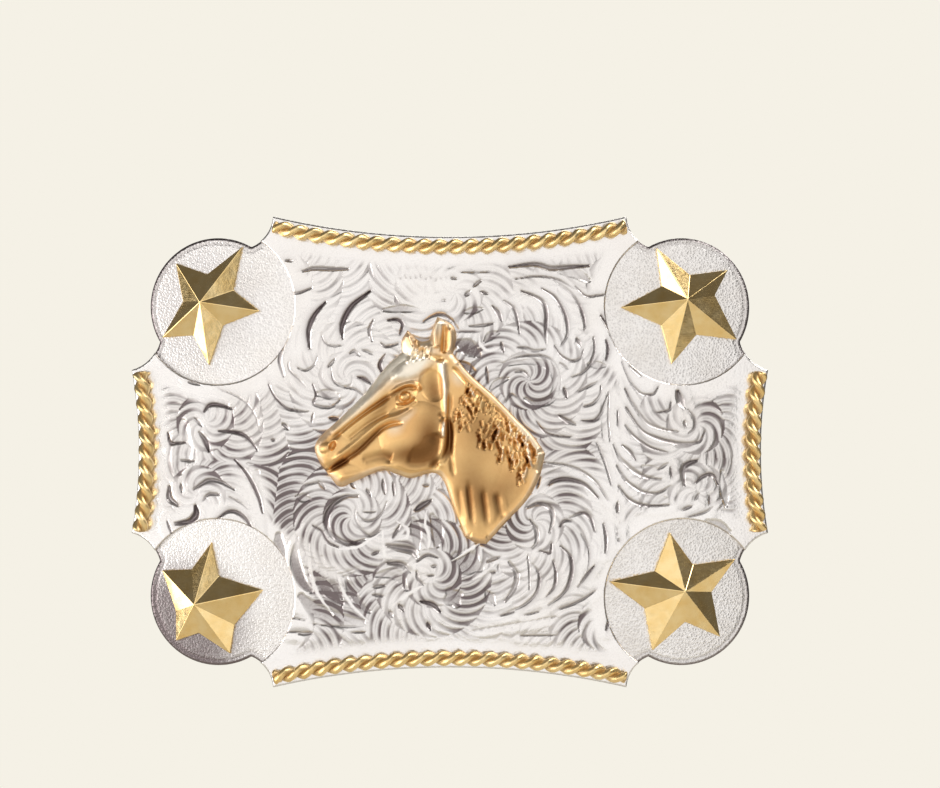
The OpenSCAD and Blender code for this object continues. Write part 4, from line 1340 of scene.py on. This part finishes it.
def star_gold():
    """Polished gold with faint streaks."""
    p = Paint("star_gold")
    cloud = p.noise(0.5, 4.0)
    lines = p.noise(1.1, 4.0, (1, 1, 6))
    color = p.clouds(cloud, GOLD_BRIGHT, GOLD_WARM)
    roughness = p.span(lines, 0.3, 0.7, 0.13, 0.22)
    p.bumps((cloud, 0.25, 0.12), (lines, 0.1, 0.03))
    return p.finish(color, roughness)


def horse_gold():
    """Satin gold, with pale painted highlights and brown painted shade in the hollows."""
    p = Paint("horse_gold")
    dark = p.dark()
    cloud = p.noise(0.22, 3.0)
    grain = p.noise(2.8, 4.0)
    color = p.clouds(cloud, SATIN_GOLD, SATIN_WARM)
    # negative darkness paints highlights in pale gold; positive darkness paints shade in
    # brown
    color = p.mix(p.span(dark, -1.0, 0.0, 0.9, 0.0), color, HIGHLIGHT_GOLD)
    color = p.mix(p.span(dark, 0.1, 1.0, 0.0, 0.9), color, SHADE_BROWN)
    roughness = p.span(grain, 0.3, 0.7, 0.38, 0.5)
    p.bumps((grain, 0.35, 0.08), (p.cells(1.3), 0.15, 0.06))
    return p.finish(color, roughness)


def worn_nickel(name, stretch, tint):
    """Brushed and scratched nickel, for the fittings behind."""
    p = Paint(name)
    brush = p.noise(1.2, 6.0, stretch)
    cloud = p.noise(0.2, 4.0)
    scratch = p.noise(0.6, 2.0, (1, 1, 9))
    share = p.math("MULTIPLY", p.span(cloud, 0.35, 0.7, 0.0, 1.0), tint)
    color = p.mix(share, NICKEL_BRIGHT, NICKEL_DULL)
    roughness = p.span(brush, 0.3, 0.7, 0.26, 0.42)
    p.bumps((brush, 0.2, 0.05), (scratch, 0.15, 0.04))
    return p.finish(color, roughness)


def back_silver():
    """The base plate's back, brushed along the belt."""
    p = Paint("back_silver")
    brush = p.noise(1.0, 6.0, (0.12, 1, 1.4))
    cloud = p.noise(0.12, 4.0)
    color = p.clouds(cloud, SILVER_WARM, NICKEL_BRIGHT)
    roughness = p.span(brush, 0.3, 0.7, 0.3, 0.46)
    p.bumps((brush, 0.3, 0.06), (p.noise(0.4, 3.0, (5, 1, 1)), 0.1, 0.04))
    return p.finish(color, roughness)


def paint(obj, material):
    """Makes this the only material of an object."""
    obj.data.materials.clear()
    obj.data.materials.append(material)


def paint_back(obj, material):
    """A second material on the faces that look backwards."""
    obj.data.materials.append(material)
    polygons = obj.data.polygons
    normals = np.zeros(3 * len(polygons))
    polygons.foreach_get("normal", normals)
    polygons.foreach_set("material_index", (normals[1::3] > 0.5).astype(np.int32))


# ---- putting it together ----


def soften(obj, width, segments=3, angle=25.0):
    """Rounds a CAD piece's edges, after joining its faces along them."""
    weld = obj.modifiers.new("weld", "WELD")
    weld.merge_threshold = 0.002 * MM
    bevel = obj.modifiers.new("bevel", "BEVEL")
    bevel.width = width * MM
    bevel.segments = segments
    bevel.limit_method = "ANGLE"
    bevel.angle_limit = math.radians(angle)
    bevel.harden_normals = True


def front():
    """The base, the engraved face, the ropes and the horse."""
    base = make_base()
    paint(base, frosted_silver())
    paint_back(base, back_silver())
    face = make_face()
    paint(face, engraved_silver())
    gold = rope_gold()
    top_tip, side_tip = TOP_WING_W / 2, SIDE_WING_H / 2
    ropes = {
        "rope_trim_top": ((-top_tip, HALF_H), (top_tip, HALF_H), TOP_SAG),
        "rope_trim_bottom": ((top_tip, -HALF_H), (-top_tip, -HALF_H), TOP_SAG),
        "rope_trim_right": ((HALF_W, side_tip), (HALF_W, -side_tip), SIDE_SAG),
        "rope_trim_left": ((-HALF_W, -side_tip), (-HALF_W, side_tip), SIDE_SAG),
    }
    pieces = [(base, "base_plate", "silver"), (face, "face_plate", "silver")]
    for node, (p, q, sag) in ropes.items():
        rope = make_rope(node.replace("rope_trim", "gold_rope"), p, q, sag)
        paint(rope, gold)
        pieces.append((rope, node, "gold"))
    head_gold = horse_gold()
    for part in make_horse():
        paint(part, head_gold)
        pieces.append((part, "horse_head", "satin_gold"))
    for piece, node, slot in pieces:
        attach(piece, "buckle")
        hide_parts(node)


def stars():
    """The stars, carried over from the CAD."""
    gold = star_gold()
    for name in ("star_top_right", "star_top_left", "star_bottom_left",
                 "star_bottom_right"):
        star = bpy.data.objects[name]
        soften(star, 0.09, 2, 12)
        paint(star, gold)


def hardware():
    """The saddle, bail and hook behind, carried over from the CAD."""
    plates = worn_nickel("nickel_plates", (1, 1, 0.1), 1.0)
    rods = worn_nickel("nickel_rods", (1, 1, 1), 0.7)
    heads = worn_nickel("nickel_heads", (0.6, 1, 0.6), 0.4)
    for name, material, width in (
            ("bail_saddle", plates, 0.15), ("hook_plate", plates, 0.15),
            ("bail", rods, 0.1), ("hook_post", rods, 0.15),
            ("saddle_rivets", heads, 0.08), ("hook_rivets", heads, 0.08)):
        piece = bpy.data.objects[name]
        soften(piece, width)
        paint(piece, material)


# ---- light, camera and surroundings ----

CREAM = (0.913, 0.879, 0.791)
DULL_CREAM = (0.90, 0.865, 0.775)
WARM_WHITE = (1.0, 0.96, 0.9)
LAMP_WHITE = (1.0, 0.98, 0.95)
AMBIENT = 0.14
# name, place and size in metres, and power in watts
SOFTBOXES = (
    ("front_box", (0.0, -0.95, 0.04), (1.5, 1.1), 4.9),
    ("left_box", (-0.75, -0.3, -0.15), (0.75, 0.8), 6.5),
    ("low_box", (-0.1, -0.28, -0.72), (0.8, 0.6), 5.5),
    ("top_right_box", (0.5, -0.25, 0.52), (0.35, 0.4), 2.5),
    ("back_box", (0.25, 0.75, 0.4), (0.7, 0.5), 4.2),
)
# in metres
CAMERA_PLACE = (0.0030, -0.390, 0.0086)
TABLE_R = 0.28
TABLE_Z = -0.11


def world():
    """Cream for the camera, and a dim warm white for what the metal reflects."""
    made = bpy.data.worlds.new("world")
    bpy.context.scene.world = made
    made.use_nodes = True
    tree = made.node_tree
    tree.nodes.clear()
    output = tree.nodes.new("ShaderNodeOutputWorld")
    mix = tree.nodes.new("ShaderNodeMixShader")
    path = tree.nodes.new("ShaderNodeLightPath")
    seen = tree.nodes.new("ShaderNodeBackground")
    seen.inputs["Color"].default_value = (*CREAM, 1)
    lit = tree.nodes.new("ShaderNodeBackground")
    lit.inputs["Color"].default_value = (*WARM_WHITE, 1)
    lit.inputs["Strength"].default_value = AMBIENT
    tree.links.new(path.outputs["Is Camera Ray"], mix.inputs["Fac"])
    tree.links.new(lit.outputs["Background"], mix.inputs[1])
    tree.links.new(seen.outputs["Background"], mix.inputs[2])
    tree.links.new(mix.outputs["Shader"], output.inputs["Surface"])


def softbox(name, place, size, power):
    """A soft rectangular light that faces the middle of the buckle."""
    data = bpy.data.lights.new(name, "AREA")
    data.shape = "RECTANGLE"
    data.size, data.size_y = size
    data.energy = power
    data.color = LAMP_WHITE
    light = bpy.data.objects.new(name, data)
    light.location = place
    light.rotation_euler = (-Vector(place)).to_track_quat("-Z", "Y").to_euler()
    light.visible_camera = False
    bpy.context.scene.collection.objects.link(light)


def lights():
    """A wide box in front, others that the stars' facets pick up, and one behind."""
    for name, place, size, power in SOFTBOXES:
        softbox(name, place, size, power)


def camera():
    """Square on to the face, a little above its middle."""
    data = bpy.data.cameras.new("camera")
    data.lens = 100
    data.sensor_width = 36
    made = bpy.data.objects.new("camera", data)
    made.location = CAMERA_PLACE
    made.rotation_euler = (math.pi / 2, 0, 0)
    bpy.context.scene.collection.objects.link(made)
    bpy.context.scene.camera = made


def floor():
    """A pale round table, some way below the buckle."""
    bpy.ops.mesh.primitive_circle_add(vertices=96, radius=TABLE_R, fill_type="NGON",
                                      location=(0, 0, TABLE_Z))
    table = bpy.context.object
    table.name = "table"
    p = Paint("pale_table", 0.0)
    color = p.mix(p.span(p.noise(0.02, 3.0), 0.3, 0.7, 0.0, 1.0), CREAM, DULL_CREAM)
    roughness = p.span(p.noise(0.05, 2.0), 0.3, 0.7, 0.75, 0.85)
    p.bumps((p.noise(0.8, 3.0), 0.1, 0.1))
    paint(table, p.finish(color, roughness))


front()
stars()
hardware()
world()
lights()
camera()
floor()
bpy.context.scene.view_settings.view_transform = "Standard"
